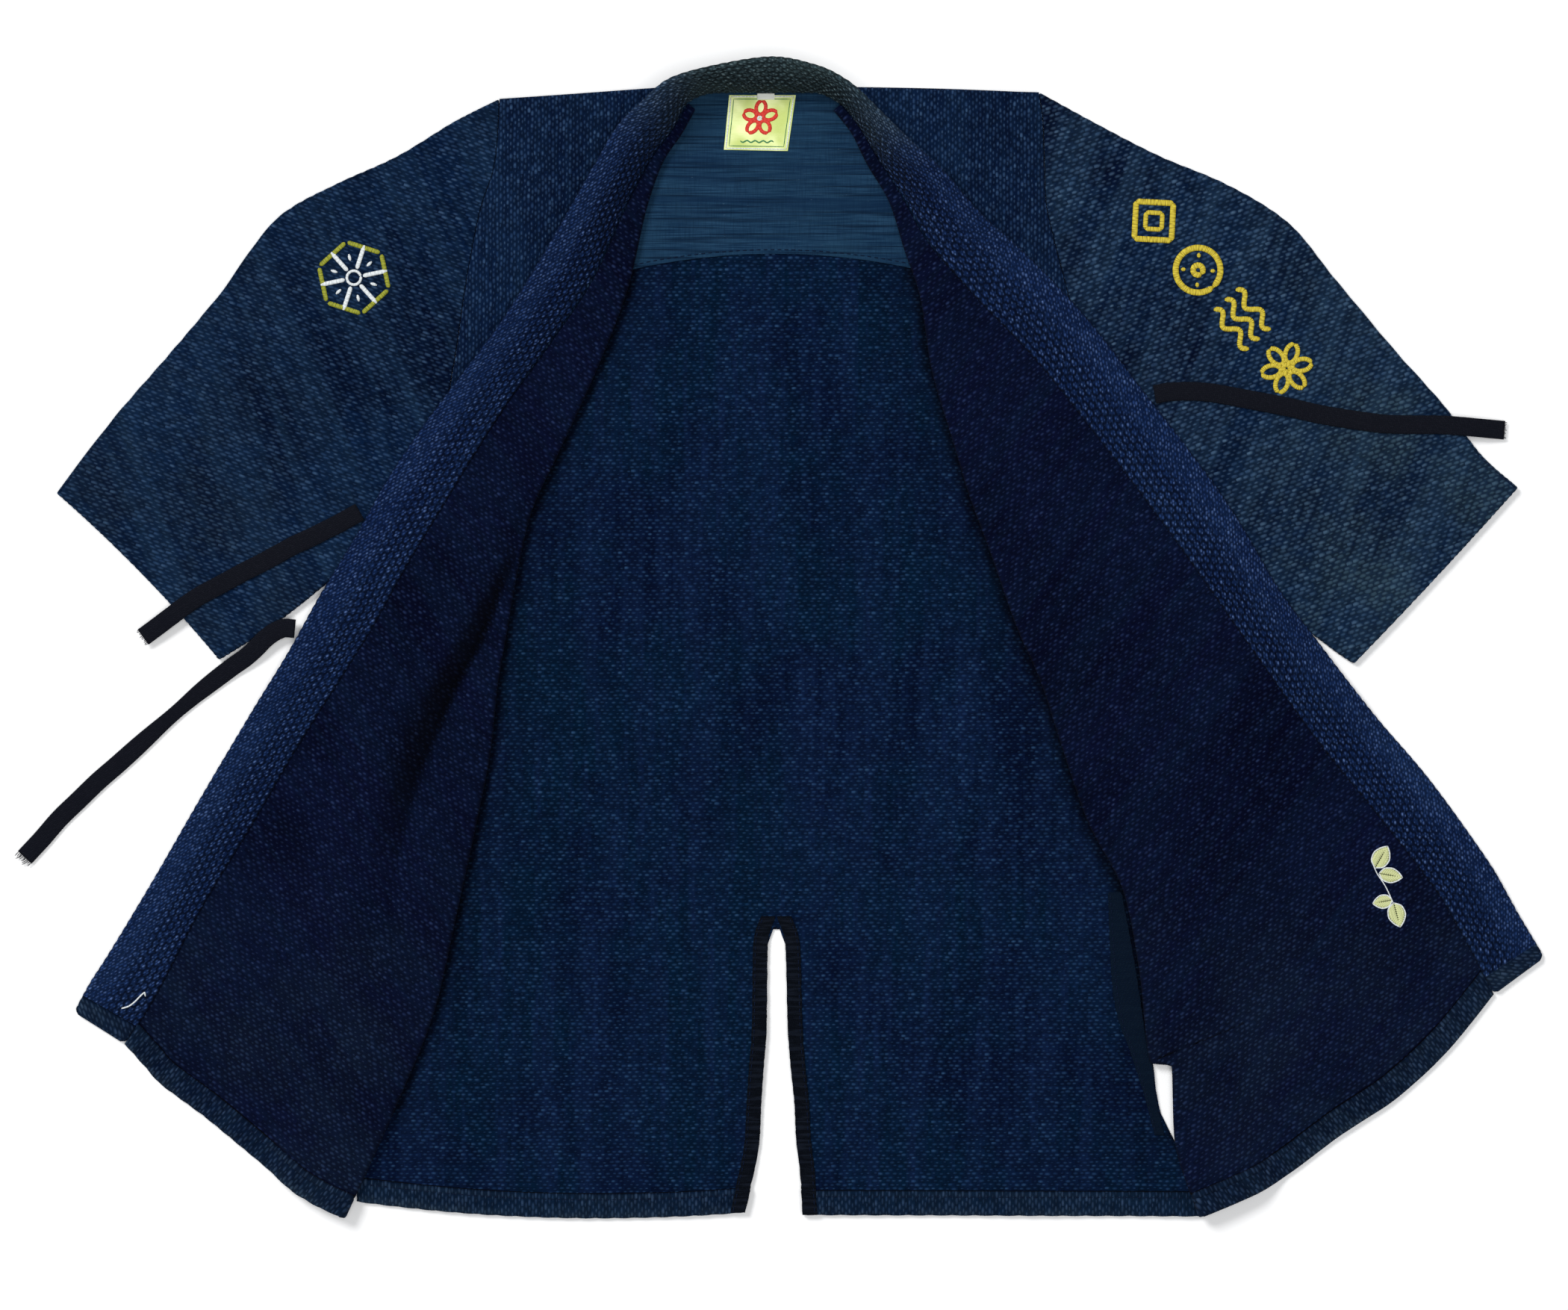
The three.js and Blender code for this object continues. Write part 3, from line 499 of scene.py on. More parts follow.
def make_piece(name, points, faces, looks, place, numbers=0, wear_and_shade=0):
    """One named object from points in millimetres and four-cornered faces, turned right side out.

    place is each point's place on the cloth, numbers the material of each face."""
    used = np.unique(faces)
    renumber = np.zeros(len(points), int)
    renumber[used] = np.arange(len(used))
    points, faces = settled(points[used]), renumber[faces]
    if volume_of(points, faces) < 0:
        faces = faces[:, ::-1]
    mesh = bpy.data.meshes.new(name)
    mesh.from_pydata((points * MM).tolist(), [], faces.tolist())
    for look in looks:
        mesh.materials.append(look)
    mesh.polygons.foreach_set("material_index", np.broadcast_to(numbers, len(faces)).astype(np.int32))
    mesh.polygons.foreach_set("use_smooth", np.ones(len(faces), bool))
    corner_points = np.zeros(len(mesh.loops), np.int32)
    mesh.loops.foreach_get("vertex_index", corner_points)
    corner_places = place[used][corner_points] * MM
    mesh.uv_layers.new(name="cloth").data.foreach_set("uv", corner_places.astype(np.float32).ravel())
    # rubbed places above 0 and painted shade below 0
    worn = mesh.attributes.new("wear_and_shade", "FLOAT", "POINT")
    worn.data.foreach_set("value", np.broadcast_to(wear_and_shade, len(renumber))[used].astype(np.float32))
    mesh.validate()
    piece = bpy.data.objects.new(name, mesh)
    bpy.context.scene.collection.objects.link(piece)
    return piece


def grid_of(points, thickness=CLOTH, relief=0, wear_and_shade=0, place=None):
    """Puts together the eight numbers that a cloth wall needs at each point."""
    shape = points.shape[:2]
    extra = [np.broadcast_to(value, shape)[..., None] for value in (thickness, relief, wear_and_shade)]
    place = points[..., :2] if place is None else place
    return np.concatenate([points, *extra, place], axis=2)


print("the edge of the cloth has", len(EDGE_SHARES), "extra lines of points")

# %% [markdown]
# ## Writing shader nodes in code
# A material is a small network of nodes. Wiring each one by hand takes four lines, so `Wires` adds a
# node, sets its options and joins its inputs in one call. A value is set on the socket, and another
# node's output is linked to it.


# %% A short way to add and join nodes
class Wires:
    """Adds nodes to one tree and joins them."""

    def __init__(self, tree):
        self.tree = tree

    def add(self, kind, inputs=(), **options):
        node = self.tree.nodes.new("ShaderNode" + kind)
        for option, value in options.items():
            setattr(node, option, value)
        for socket, value in dict(inputs).items():
            self.feed(node.inputs[socket], value)
        return node

    def feed(self, socket, value):
        if isinstance(value, bpy.types.NodeSocket):
            self.tree.links.new(value, socket)
        else:
            socket.default_value = value

    def math(self, operation, a, b=0.0, c=0.0):
        return self.add("Math", {0: a, 1: b, 2: c}, operation=operation).outputs[0]

    def times(self, first, *others):
        for other in others:
            first = self.math("MULTIPLY", first, other)
        return first

    def plus(self, a, b):
        return self.math("ADD", a, b)

    def minus(self, a, b):
        return self.math("SUBTRACT", a, b)

    def ramp(self, value, low, high, start=0.0, stop=1.0):
        inputs = {"Value": value, "From Min": low, "From Max": high, "To Min": start, "To Max": stop}
        return self.add("MapRange", inputs, interpolation_type="SMOOTHSTEP").outputs[0]

    def mix(self, factor, a, b, blend="MIX"):
        node = self.add("Mix", data_type="RGBA", blend_type=blend)
        for socket, value in zip((node.inputs[0], node.inputs[6], node.inputs[7]), (factor, a, b)):
            self.feed(socket, value)
        return node.outputs[2]

    def split(self, vector):
        return self.add("SeparateXYZ", {0: vector}).outputs

    def scaled(self, vector, share):
        return self.add("VectorMath", {0: vector, "Scale": share}, operation="SCALE").outputs[0]

    def turned(self, vector, angle):
        return self.add("VectorRotate", {"Vector": vector, "Angle": angle}, rotation_type="Z_AXIS").outputs[0]

    def noise(self, vector, scale, detail=2.0, roughness=0.5, output=0):
        inputs = {"Vector": vector, "Scale": scale, "Detail": detail, "Roughness": roughness}
        return self.add("TexNoise", inputs).outputs[output]

    def yarns(self, vector, x, y, detail=2.0, roughness=0.6):
        """A noise that changes x times a metre one way and y times the other."""
        spot = self.add("VectorMath", {0: vector, 1: (x, y, 1.0)}, operation="MULTIPLY").outputs[0]
        return self.noise(spot, 1.0, detail, roughness)


def rgb(red, green, blue):
    """A colour seen on a screen as 0 to 255, turned into the linear values that light needs."""
    seen = np.array([red, green, blue]) / 255
    linear = np.where(seen <= 0.04045, seen / 12.92, ((seen + 0.055) / 1.055) ** 2.4)
    return (*linear.tolist(), 1.0)


def node_group(name, inputs, outputs):
    """An empty shader group with the sockets that go in and come out, each as its name and kind."""
    tree = bpy.data.node_groups.new(name, "ShaderNodeTree")
    for way, sockets in (("INPUT", inputs), ("OUTPUT", outputs)):
        for label, kind in sockets.items():
            tree.interface.new_socket(label, in_out=way, socket_type="NodeSocket" + kind)
    given, give = tree.nodes.new("NodeGroupInput"), tree.nodes.new("NodeGroupOutput")
    return tree, Wires(tree), given.outputs, give.inputs


print("a mid blue in linear light:", [round(v, 3) for v in rgb(22, 38, 64)[:3]])

# %% [markdown]
# ## The rice-grain weave
# This cloth is woven double, and a thick soft yarn surfaces in short plump grains, each row set half
# a step from the last, like bricks. An image would repeat and blur. A few sums do it exactly: divide
# the place on the cloth into rows and cells, find how far each point is from its cell's middle, and
# round that off into a grain. A random number per cell makes some grains paler, as worn yarn is.

# %% Group: rice grains
GRAIN_REACH = 0.48  # half the size of a grain whose Plump is 1, as a share of its cell
GRAIN_TOP = 0.15  # the share of a grain, from its middle, that stands at full height
SCATTER = 0.34  # how far grains differ in place and size, as a share of a cell

grains_tree, wires, given, give = node_group(
    "rice_grains",
    {
        "Place": "Vector", "Slant": "Float", "Length": "Float", "Row": "Float", "Plump": "Float",
        "Stray": "Float", "Scatter": "Float",
    },
    {"Height": "Float", "Tone": "Float"},
)
turned = wires.turned(given["Place"], given["Slant"])
wander = wires.noise(given["Place"], 45.0, 2.0, output=1)
wander = wires.add("VectorMath", {0: wander, 1: (0.5, 0.5, 0.5)}, operation="SUBTRACT").outputs[0]
wander = wires.scaled(wander, given["Stray"])
spot = wires.add("VectorMath", {0: turned, 1: wander}, operation="ADD").outputs[0]
spot = wires.split(spot)
row = wires.math("DIVIDE", spot["Y"], given["Row"])
row_number = wires.math("FLOOR", row)
step = wires.math("DIVIDE", spot["X"], given["Length"])
step = wires.plus(step, wires.times(row_number, 0.5))
cell = wires.add("CombineXYZ", {0: wires.math("FLOOR", step), 1: row_number})
luck = wires.add("TexWhiteNoise", {"Vector": cell.outputs[0]}, noise_dimensions="3D")
chance = wires.split(luck.outputs["Color"])


def from_middle(along, chance_of):
    """How far across its cell a point is, from the middle of a grain that sits a little off centre."""
    off = wires.times(wires.minus(chance_of, 0.5), given["Scatter"])
    return wires.plus(wires.minus(wires.math("FRACT", along), 0.5), off)


x, y = from_middle(step, chance["X"]), from_middle(row, chance["Y"])
away = wires.math("SQRT", wires.plus(wires.times(x, x), wires.times(y, y)))
size_luck = wires.times(wires.minus(chance["Z"], 0.5), given["Scatter"])
reach = wires.times(given["Plump"], wires.plus(GRAIN_REACH, size_luck))
wires.feed(give["Height"], wires.ramp(wires.math("DIVIDE", away, reach), 1.0, GRAIN_TOP))
wires.feed(give["Tone"], luck.outputs["Value"])
print(grains_tree.name, len(grains_tree.nodes), "nodes")

# %% [markdown]
# ## Faded indigo
# Indigo sits on the outside of the yarn and rubs off, so the cloth is never one blue. Big soft clouds
# come from washing, and long streaks from yarns that took the dye unevenly. Three blues and three
# noises, two of them stretched along the yarn, give both.

# %% Group: faded indigo
fade_tree, wires, given, give = node_group(
    "faded_indigo",
    {
        "Place": "Vector", "Slant": "Float", "Dark": "Color", "Middle": "Color", "Pale": "Color",
        "Streaks": "Float", "Clouds": "Float",
    },
    {"Color": "Color"},
)
turned = wires.turned(given["Place"], given["Slant"])
cloud = wires.ramp(wires.noise(given["Place"], 8.0, 4.0, 0.62), 0.4, 0.62)
streak = wires.ramp(wires.yarns(turned, 170.0, 9.0), 0.42, 0.7)
broad = wires.ramp(wires.yarns(turned, 30.0, 3.5, 3.0), 0.42, 0.62)
streak = wires.times(wires.plus(streak, broad), 0.5)
base = wires.mix(wires.times(cloud, given["Clouds"]), given["Middle"], given["Dark"])
wires.feed(give["Color"], wires.mix(wires.times(streak, given["Streaks"]), base, given["Pale"]))
print(fade_tree.name, len(fade_tree.nodes), "nodes")

# %% [markdown]
# ## Fuzz, slubs and rubbed places
# Cotton yarn is hairy and uneven. Fuzz is a very fine noise for the bump and a little colour. Slubs
# are the long thick places in hand-like weaving, a noise stretched many times along one direction.
# Cloth rubs pale first on the tops of its yarns, so the third group breaks the painted `wear_and_shade` of the
# mesh into specks and soft patches.

# %% Groups: fuzz, slubs and rubbed places
fuzz_tree, wires, given, give = node_group(
    "yarn_fuzz", {"Place": "Vector", "Size": "Float"}, {"Height": "Float"}
)
spot = wires.scaled(given["Place"], wires.math("DIVIDE", 1.0, given["Size"]))
wires.feed(give["Height"], wires.noise(spot, 1.0, 2.0, 0.65))

slub_tree, wires, given, give = node_group(
    "slubs", {"Place": "Vector", "Length": "Float", "Width": "Float", "Amount": "Float"}, {"Mask": "Float"}
)
spot = wires.split(given["Place"])
long_way = wires.math("DIVIDE", spot["X"], given["Length"])
short_way = wires.math("DIVIDE", spot["Y"], given["Width"])
spot = wires.add("CombineXYZ", {0: long_way, 1: short_way})
level = wires.noise(spot.outputs[0], 1.0, 2.0, 0.6)
edge = wires.minus(0.8, wires.times(given["Amount"], 0.5))
wires.feed(give["Mask"], wires.ramp(wires.minus(level, edge), -0.05, 0.12))

rubbed_tree, wires, given, give = node_group(
    "rubbed_places", {"Place": "Vector", "Wear": "Float", "Yarn": "Float"}, {"Mask": "Float"}
)
patches = wires.ramp(wires.noise(given["Place"], 16.0, 3.0, 0.6), 0.36, 0.64, 0.15, 1.0)
specks = wires.ramp(given["Yarn"], 0.25, 0.8, 0.2, 1.0)
wires.feed(give["Mask"], wires.times(given["Wear"], wires.times(patches, specks)))
print(fuzz_tree.name, slub_tree.name, rubbed_tree.name)

# %% [markdown]
# ## A material for one cloth
# Every material here starts from the same four things: a matt shader with hardly any gloss, since
# cotton has none, a faint sheen for its fuzz, and the place on the cloth, which comes from the mesh's
# own map in metres. So 3 mm in a material is 3 mm on the jacket.


# %% Start a material, place a group in it
YARN_FUZZ = 0.9  # size of the fuzz on thick yarn, in millimetres


def new_material(name, roughness=0.9, specular=0.03):
    material = bpy.data.materials.new(name)
    material.use_nodes = True
    shader = material.node_tree.nodes["Principled BSDF"]
    wires = Wires(material.node_tree)
    finish = {
        "Roughness": roughness, "Specular IOR Level": specular, "Sheen Weight": 0.008, "Sheen Roughness": 0.6,
    }
    for socket, value in finish.items():
        wires.feed(shader.inputs[socket], value)
    return material, shader, wires, wires.add("UVMap", uv_map="cloth").outputs[0]


def use(wires, tree, place, **values):
    """Puts a group in a material with its own values."""
    node = wires.add("Group", node_tree=tree)
    for socket, value in {"Place": place, **values}.items():
        wires.feed(node.inputs[socket], value)
    return node.outputs


def paint(wires, shader, colour, height, depth):
    """Gives a material its colour and the relief of its yarns."""
    node = wires.add("Bump", {"Height": height, "Distance": depth})
    wires.feed(shader.inputs["Base Color"], colour)
    wires.feed(shader.inputs["Normal"], node.outputs[0])


print("materials start matt: roughness 0.9")

# %% [markdown]
# ## The indigo cloths
# One cloth makes the whole jacket, but each face shows it differently: dots on the inside, slanted
# grains on the sleeves, grey worn grains at the hems. `indigo_cloth` builds a material from the
# groups. Between the grains light is lost, so the blue darkens there. Every grain is paler than that
# ground, a few lucky ones much paler. The same heights go to a Bump node. Where the mesh's value for
# wear and shade is above 0 the cloth is rubbed, and below 0 it is painted shade: darker beside a
# crease, in hem grooves and beside the rolls.


# %% Indigo cloth materials
def indigo_cloth(
    name, dark, middle, pale, grain, slant=0, length=5.0, row=2.8, plump=0.8, stray=0.6, show=0.8, hollow=0.5,
    rise=0.7, streaks=0.4, clouds=0.6, streak_slant=0, worn=rgb(50, 62, 78),
):
    """A face of the jacket's cloth. Slants are in degrees, and sizes of the weave in millimetres.

    show is how far the grains take on their pale colour, and hollow the light left between them."""
    material, shader, wires, place = new_material(name)
    fade = use(
        wires, fade_tree, place, Slant=math.radians(streak_slant), Dark=dark, Middle=middle, Pale=pale,
        Streaks=streaks, Clouds=clouds,
    )
    grains = use(
        wires, grains_tree, place, Slant=math.radians(-slant), Length=length * MM, Row=row * MM, Plump=plump,
        Stray=stray * MM, Scatter=SCATTER,
    )
    fuzz = use(wires, fuzz_tree, place, Size=YARN_FUZZ * MM)
    groups_of_yarn = wires.ramp(wires.noise(place, 130.0, 2.0, 0.6), 0.3, 0.7, 0.35, 1.35)
    luck = wires.plus(0.36, wires.times(wires.math("POWER", grains["Tone"], 4.0), 0.64))
    lit = wires.times(grains["Height"], luck, groups_of_yarn)
    lit = wires.math("MINIMUM", wires.times(lit, show), 1.0)
    open_to_light = wires.ramp(grains["Height"], 0.0, 0.9, hollow, 1.0)
    open_to_light = wires.times(open_to_light, wires.ramp(grains["Tone"], 0.0, 1.0, 0.78, 1.2))
    colour = wires.mix(lit, wires.scaled(fade["Color"], open_to_light), grain)
    wear_and_shade_mesh = wires.add("Attribute", attribute_name="wear_and_shade").outputs["Fac"]
    bare = wires.math("MAXIMUM", wear_and_shade_mesh, 0.0)
    yarn = wires.times(wires.plus(fuzz["Height"], grains["Height"]), 0.6)
    rubbed = use(wires, rubbed_tree, place, Wear=bare, Yarn=yarn)
    colour = wires.mix(rubbed["Mask"], colour, worn)
    # painted shade: below 0, the mesh's value for wear and shade darkens the colour
    colour = wires.scaled(colour, wires.ramp(wear_and_shade_mesh, 0.0, -1.0, 1.0, 0.22))
    wires.feed(shader.inputs["Roughness"], wires.ramp(grains["Height"], 0.0, 1.0, 0.96, 0.84))
    height = wires.plus(grains["Height"], wires.times(fuzz["Height"], 0.45))
    paint(wires, shader, colour, height, rise * MM)
    return material


back_inner = indigo_cloth(
    "back_inner_face", rgb(4, 17, 50), rgb(2, 30, 57), rgb(16, 36, 74), rgb(38, 66, 98),
    plump=0.85, streaks=0.9, clouds=0.9, stray=1.2,
)
front_inner = {
    name: indigo_cloth(
        name + "_inner_face", rgb(3, 8, 36), rgb(9, 17, 50), rgb(10, 28, 56), rgb(36, 50, 84),
        slant=slant, row=2.9, stray=2.0, show=0.7, streaks=0.7, clouds=0.9, streak_slant=slant,
        worn=rgb(30, 46, 68),
    )
    for name, slant in (("front_right", -35), ("front_left", 36))
}
shoulder_outer = indigo_cloth(
    "shoulder_outer_face", rgb(4, 19, 50), rgb(10, 32, 66), rgb(22, 48, 80), rgb(50, 74, 104),
    slant=90, length=4.6, row=2.6, plump=1.0, stray=1.4, show=0.9, streaks=0.5,
)
sleeve_outer = {
    "sleeve_right": indigo_cloth(
        "sleeve_right_outer_face", rgb(1, 16, 46), rgb(7, 32, 66), rgb(28, 54, 84), rgb(60, 84, 112),
        slant=-20, length=6.4, row=2.6, plump=1.0, stray=2.2, show=0.6, streaks=0.75, clouds=0.95,
        streak_slant=-20, worn=rgb(40, 58, 76),
    ),
    "sleeve_left": indigo_cloth(
        "sleeve_left_outer_face", rgb(3, 16, 46), rgb(10, 35, 68), rgb(32, 56, 84), rgb(70, 94, 118),
        slant=20, length=5.6, row=3.1, plump=1.05, stray=2.0, show=0.7, streaks=1.0, clouds=0.95,
        streak_slant=20, worn=rgb(52, 74, 84),
    ),
}
hem_turned = {
    name: indigo_cloth(
        name + "_turned_hem", *blues, rgb(54, 72, 98),
        slant=slant, length=6.0, row=2.5, plump=1.0, stray=1.4, show=0.6, streaks=0.6, streak_slant=slant,
        worn=rgb(46, 62, 78),
    )
    for name, slant, blues in (
        ("back", 90, (rgb(1, 20, 48), rgb(8, 32, 60), rgb(22, 44, 68))),
        ("front_right", 51, (rgb(0, 14, 42), rgb(8, 26, 54), rgb(18, 40, 64))),
        ("front_left", -53, (rgb(0, 15, 40), rgb(9, 26, 52), rgb(20, 40, 62))),
    )
}
print("indigo cloths:", len([m for m in bpy.data.materials if "face" in m.name or "hem" in m.name]))

# %% [markdown]
# ## The collar band's cloth
# The band is woven with the plumpest grains of all. They are real relief on its mesh, and the
# material repeats them at the same places, with no scatter, so colour and form agree. Finer grains
# ride on the big ones. The outer half of the band is smoother, where hands rub it. Round the neck
# the grains stay bold right across, and there the mesh's `wear_and_shade` turns the cloth grey.

# %% Collar band material
BAND_GRAIN = {"length": 6.6, "row": 4.18, "plump": 1.2}
BAND_WIDTH = 46
FLATTER = (18, 36)  # how far from the seam the grains start to flatten, and stop


def band_cloth():
    material, shader, wires, place = new_material("collar_band_cloth")
    grains = use(
        wires, grains_tree, place, Slant=0.0, Length=BAND_GRAIN["length"] * MM, Row=BAND_GRAIN["row"] * MM,
        Plump=BAND_GRAIN["plump"], Stray=0.0, Scatter=0.0,
    )
    small = use(
        wires, grains_tree, place, Slant=0.5, Length=3.6 * MM, Row=2.1 * MM, Plump=1.0, Stray=1.4 * MM,
        Scatter=SCATTER,
    )
    fade = use(
        wires, fade_tree, place, Slant=math.radians(90), Dark=rgb(12, 32, 77), Middle=rgb(21, 46, 94),
        Pale=rgb(36, 63, 109), Streaks=0.5, Clouds=0.5,
    )
    fuzz = use(wires, fuzz_tree, place, Size=YARN_FUZZ * MM)
    across = wires.split(place)["Y"]
    wear_and_shade_mesh = wires.add("Attribute", attribute_name="wear_and_shade").outputs["Fac"]
    at_neck = wires.ramp(wear_and_shade_mesh, 0.0, 1.0)
    bold = wires.math("MAXIMUM", wires.ramp(across, FLATTER[0] * MM, FLATTER[1] * MM, 1.0, 0.45), at_neck)
    hollow = wires.times(wires.ramp(grains["Height"], 0.8, 0.0), bold, 0.7)
    open_to_light = wires.times(wires.minus(1.0, hollow), wires.ramp(small["Height"], 0.0, 0.8, 0.42, 1.0))
    luck = wires.plus(0.1, wires.times(wires.math("POWER", small["Tone"], 2.0), 0.9))
    proud = wires.math("MAXIMUM", grains["Height"], wires.minus(0.95, bold))
    lit = wires.times(small["Height"], proud, luck)
    greyed = wires.mix(wires.ramp(wear_and_shade_mesh, 0.0, 1.0, 0.0, 0.9), fade["Color"], rgb(62, 82, 86))
    tips = wires.mix(at_neck, rgb(80, 104, 150), rgb(126, 144, 148))
    colour = wires.mix(lit, wires.scaled(greyed, open_to_light), tips)
    rubbed = use(wires, rubbed_tree, place, Wear=wear_and_shade_mesh, Yarn=small["Height"])
    colour = wires.mix(rubbed["Mask"], colour, rgb(66, 84, 86))
    paint(wires, shader, colour, wires.plus(small["Height"], wires.times(fuzz["Height"], 0.5)), 0.8 * MM)
    return material


collar_cloth = band_cloth()
print(collar_cloth.name, len(collar_cloth.node_tree.nodes), "nodes")

# %% [markdown]
# ## Lining
# The lining is a thin plain weave of uneven yarn. Its fine lines run across the shoulders, with dark
# slubs and a few pale flecks. Three noises, each stretched to its own length, give the yarns and
# bands. The slubs group gives the dark lines and the flecks, and a last noise pales soft patches.


# %% Lining material
def lining_weave():
    material, shader, wires, place = new_material("shoulder_lining", roughness=0.85)
    weft = wires.yarns(place, 26.0, 1000.0, 3.0, 0.65)
    warp = wires.yarns(place, 900.0, 60.0)
    bands = wires.yarns(place, 2.2, 75.0, 3.0)
    dark_lines = use(wires, slub_tree, place, Length=120 * MM, Width=2.0 * MM, Amount=0.5)
    flecks = use(wires, slub_tree, place, Length=6 * MM, Width=1.0 * MM, Amount=0.1)
    clouds = wires.noise(place, 10.0, 3.0, 0.6)
    colour = wires.mix(wires.ramp(weft, 0.34, 0.66), rgb(13, 38, 63), rgb(34, 64, 90))
    colour = wires.mix(wires.ramp(warp, 0.4, 0.7, 0.0, 0.35), colour, rgb(10, 30, 52))
    colour = wires.mix(wires.ramp(bands, 0.48, 0.66, 0.0, 0.7), colour, rgb(11, 34, 60))
    colour = wires.mix(wires.ramp(clouds, 0.45, 0.7, 0.0, 0.5), colour, rgb(30, 60, 82))
    colour = wires.mix(wires.times(dark_lines["Mask"], 0.7), colour, rgb(6, 20, 38))
    colour = wires.mix(wires.times(flecks["Mask"], 0.8), colour, rgb(96, 124, 140))
    paint(wires, shader, colour, wires.plus(warp, weft), 0.3 * MM)
    return material


lining_cloth = lining_weave()
print(lining_cloth.name)

# %% [markdown]
# ## Label, tapes and threads
# The label is satin, which shines across its threads. Tapes and ties are narrow black twill. The
# embroidery is satin stitch: threads lie side by side across each stroke, so its noise is fine along
# the stroke and long across it.


# %% Label, tape and thread materials
def satin(name, dull, bright):
    material, shader, wires, place = new_material(name, roughness=0.45, specular=0.3)
    thread = wires.yarns(place, 120.0, 2600.0)
    clouds = wires.noise(place, 45.0, 2.0)
    colour = wires.mix(wires.ramp(clouds, 0.3, 0.7), dull, bright)
    colour = wires.mix(wires.ramp(thread, 0.45, 0.75, 0.0, 0.35), colour, dull)
    wires.feed(shader.inputs["Roughness"], wires.ramp(thread, 0.2, 0.8, 0.35, 0.6))
    paint(wires, shader, colour, thread, 0.12 * MM)
    return material


def twill_tape(name, base, light, cross=0.0):
    """Narrow dark tape: fine slanted ribs, a little lint, and cross lines where it is stitched."""
    material, shader, wires, place = new_material(name, roughness=0.88, specular=0.04)
    ribs = use(
        wires, grains_tree, place, Slant=math.radians(35), Length=2.4 * MM, Row=0.9 * MM, Plump=1.1,
        Stray=0.2 * MM, Scatter=SCATTER,
    )
    fuzz = use(wires, fuzz_tree, place, Size=0.7 * MM)
    lint = wires.ramp(fuzz["Height"], 0.35, 0.8, 0.1, 0.8)
    colour = wires.mix(wires.times(ribs["Height"], lint), base, light)
    lines = use(wires, slub_tree, place, Length=30 * MM, Width=2.6 * MM, Amount=0.6)
    colour = wires.mix(wires.times(lines["Mask"], cross), colour, light)
    paint(wires, shader, colour, wires.plus(ribs["Height"], fuzz["Height"]), 0.35 * MM)
    return material


def embroidery_thread(name, deep, bright, roughness=0.5, specular=0.25):
    material, shader, wires, place = new_material(name, roughness=roughness, specular=specular)
    strands = wires.yarns(place, 1700.0, 110.0, 1.0, 0.5)
    paint(wires, shader, wires.mix(wires.ramp(strands, 0.3, 0.68), deep, bright), strands, 0.4 * MM)
    return material


label_satin = satin("label_satin", rgb(196, 212, 118), rgb(246, 255, 186))
tape_cloth = twill_tape("slit_binding_tape", rgb(3, 6, 13), rgb(22, 28, 40), cross=0.6)
side_tape_cloth = twill_tape("side_slit_binding_tape", rgb(4, 16, 32), rgb(18, 34, 50), cross=0.1)
tie_cloth = twill_tape("tie_tape", rgb(14, 16, 24), rgb(36, 38, 48))
gold_thread = embroidery_thread("gold_thread", rgb(134, 112, 10), rgb(226, 206, 62))
white_thread = embroidery_thread("white_thread", rgb(170, 178, 182), rgb(244, 248, 248))
leaf_thread = embroidery_thread("leaf_thread", rgb(150, 158, 92), rgb(226, 230, 176))
olive_thread = embroidery_thread("olive_thread", rgb(84, 92, 8), rgb(170, 172, 50))
seam_thread = embroidery_thread("seam_thread", rgb(3, 8, 22), rgb(20, 32, 58), 0.85, 0.03)
red_thread = embroidery_thread("red_thread", rgb(176, 26, 22), rgb(236, 66, 52))
green_thread = embroidery_thread("green_thread", rgb(24, 84, 50), rgb(70, 146, 96))
print("materials:", len(bpy.data.materials))

# %% [markdown]
# ## Threads and strands
# Stitches, embroidery and loose ends are all the same shape: a thin rounded strand that follows a line
# and closes at both ends. One function makes its points and faces, and `thread_work` gathers many
# strands into one object, because a thousand separate objects would be slow and hard to keep tidy.


# %% Strands, rows of stitches, heights read from a surface
def tube_faces(rings, sides):
    """Walls and two caps of a closed tube whose points are numbered ring by ring."""
    number = np.arange(rings * sides).reshape(rings, sides)
    following = np.roll(number, -1, axis=1)
    walls = np.stack([number[:-1], following[:-1], following[1:], number[1:]], 2).reshape(-1, 4)
    caps = [
        (ring[k], ring[k + 1], ring[sides - 2 - k], ring[sides - 1 - k])
        for ring in (number[0][::-1], number[-1])
        for k in range(sides // 2 - 1)
    ]
    return np.concatenate([walls, caps])


def directions_across(line):
    """At each point of a line, the level direction across it and the one that stands up from it."""
    ahead = unit(np.gradient(line, axis=0))
    aside = unit(np.cross([0, 0, 1], ahead))
    return aside, np.cross(ahead, aside)


def strand(line, width, height, sides):
    """Points, faces and map of a rounded strand along a line of points."""
    line = np.asarray(line, float)
    travelled = lengths_along(line)
    aside, above = directions_across(line)
    from_end = np.minimum(travelled, travelled[-1] - travelled) / (width / 2)
    full = np.sqrt(np.clip(1 - (1 - np.minimum(1, from_end + 0.1)) ** 2, 0, 1))
    turn = (np.arange(sides) + 0.5) * 2 * math.pi / sides
    across = aside[:, None] * (np.cos(turn)[None, :] * (width / 2 * full)[:, None])[..., None]
    raised = above[:, None] * (np.sin(turn)[None, :] * (height / 2 * full)[:, None])[..., None]
    place = np.stack([np.repeat(travelled, sides), np.tile(np.cos(turn) * width / 2, len(line))], 1)
    return (line[:, None] + across + raised).reshape(-1, 3), tube_faces(len(line), sides), place


def fair(points, step=1.2):
    """A smooth line through a few points, cut into about equal steps."""
    points = np.asarray(points, float)
    count = max(4, round(lengths_along(points)[-1] / step))
    return through(points, np.linspace(0, len(points) - 1, count))


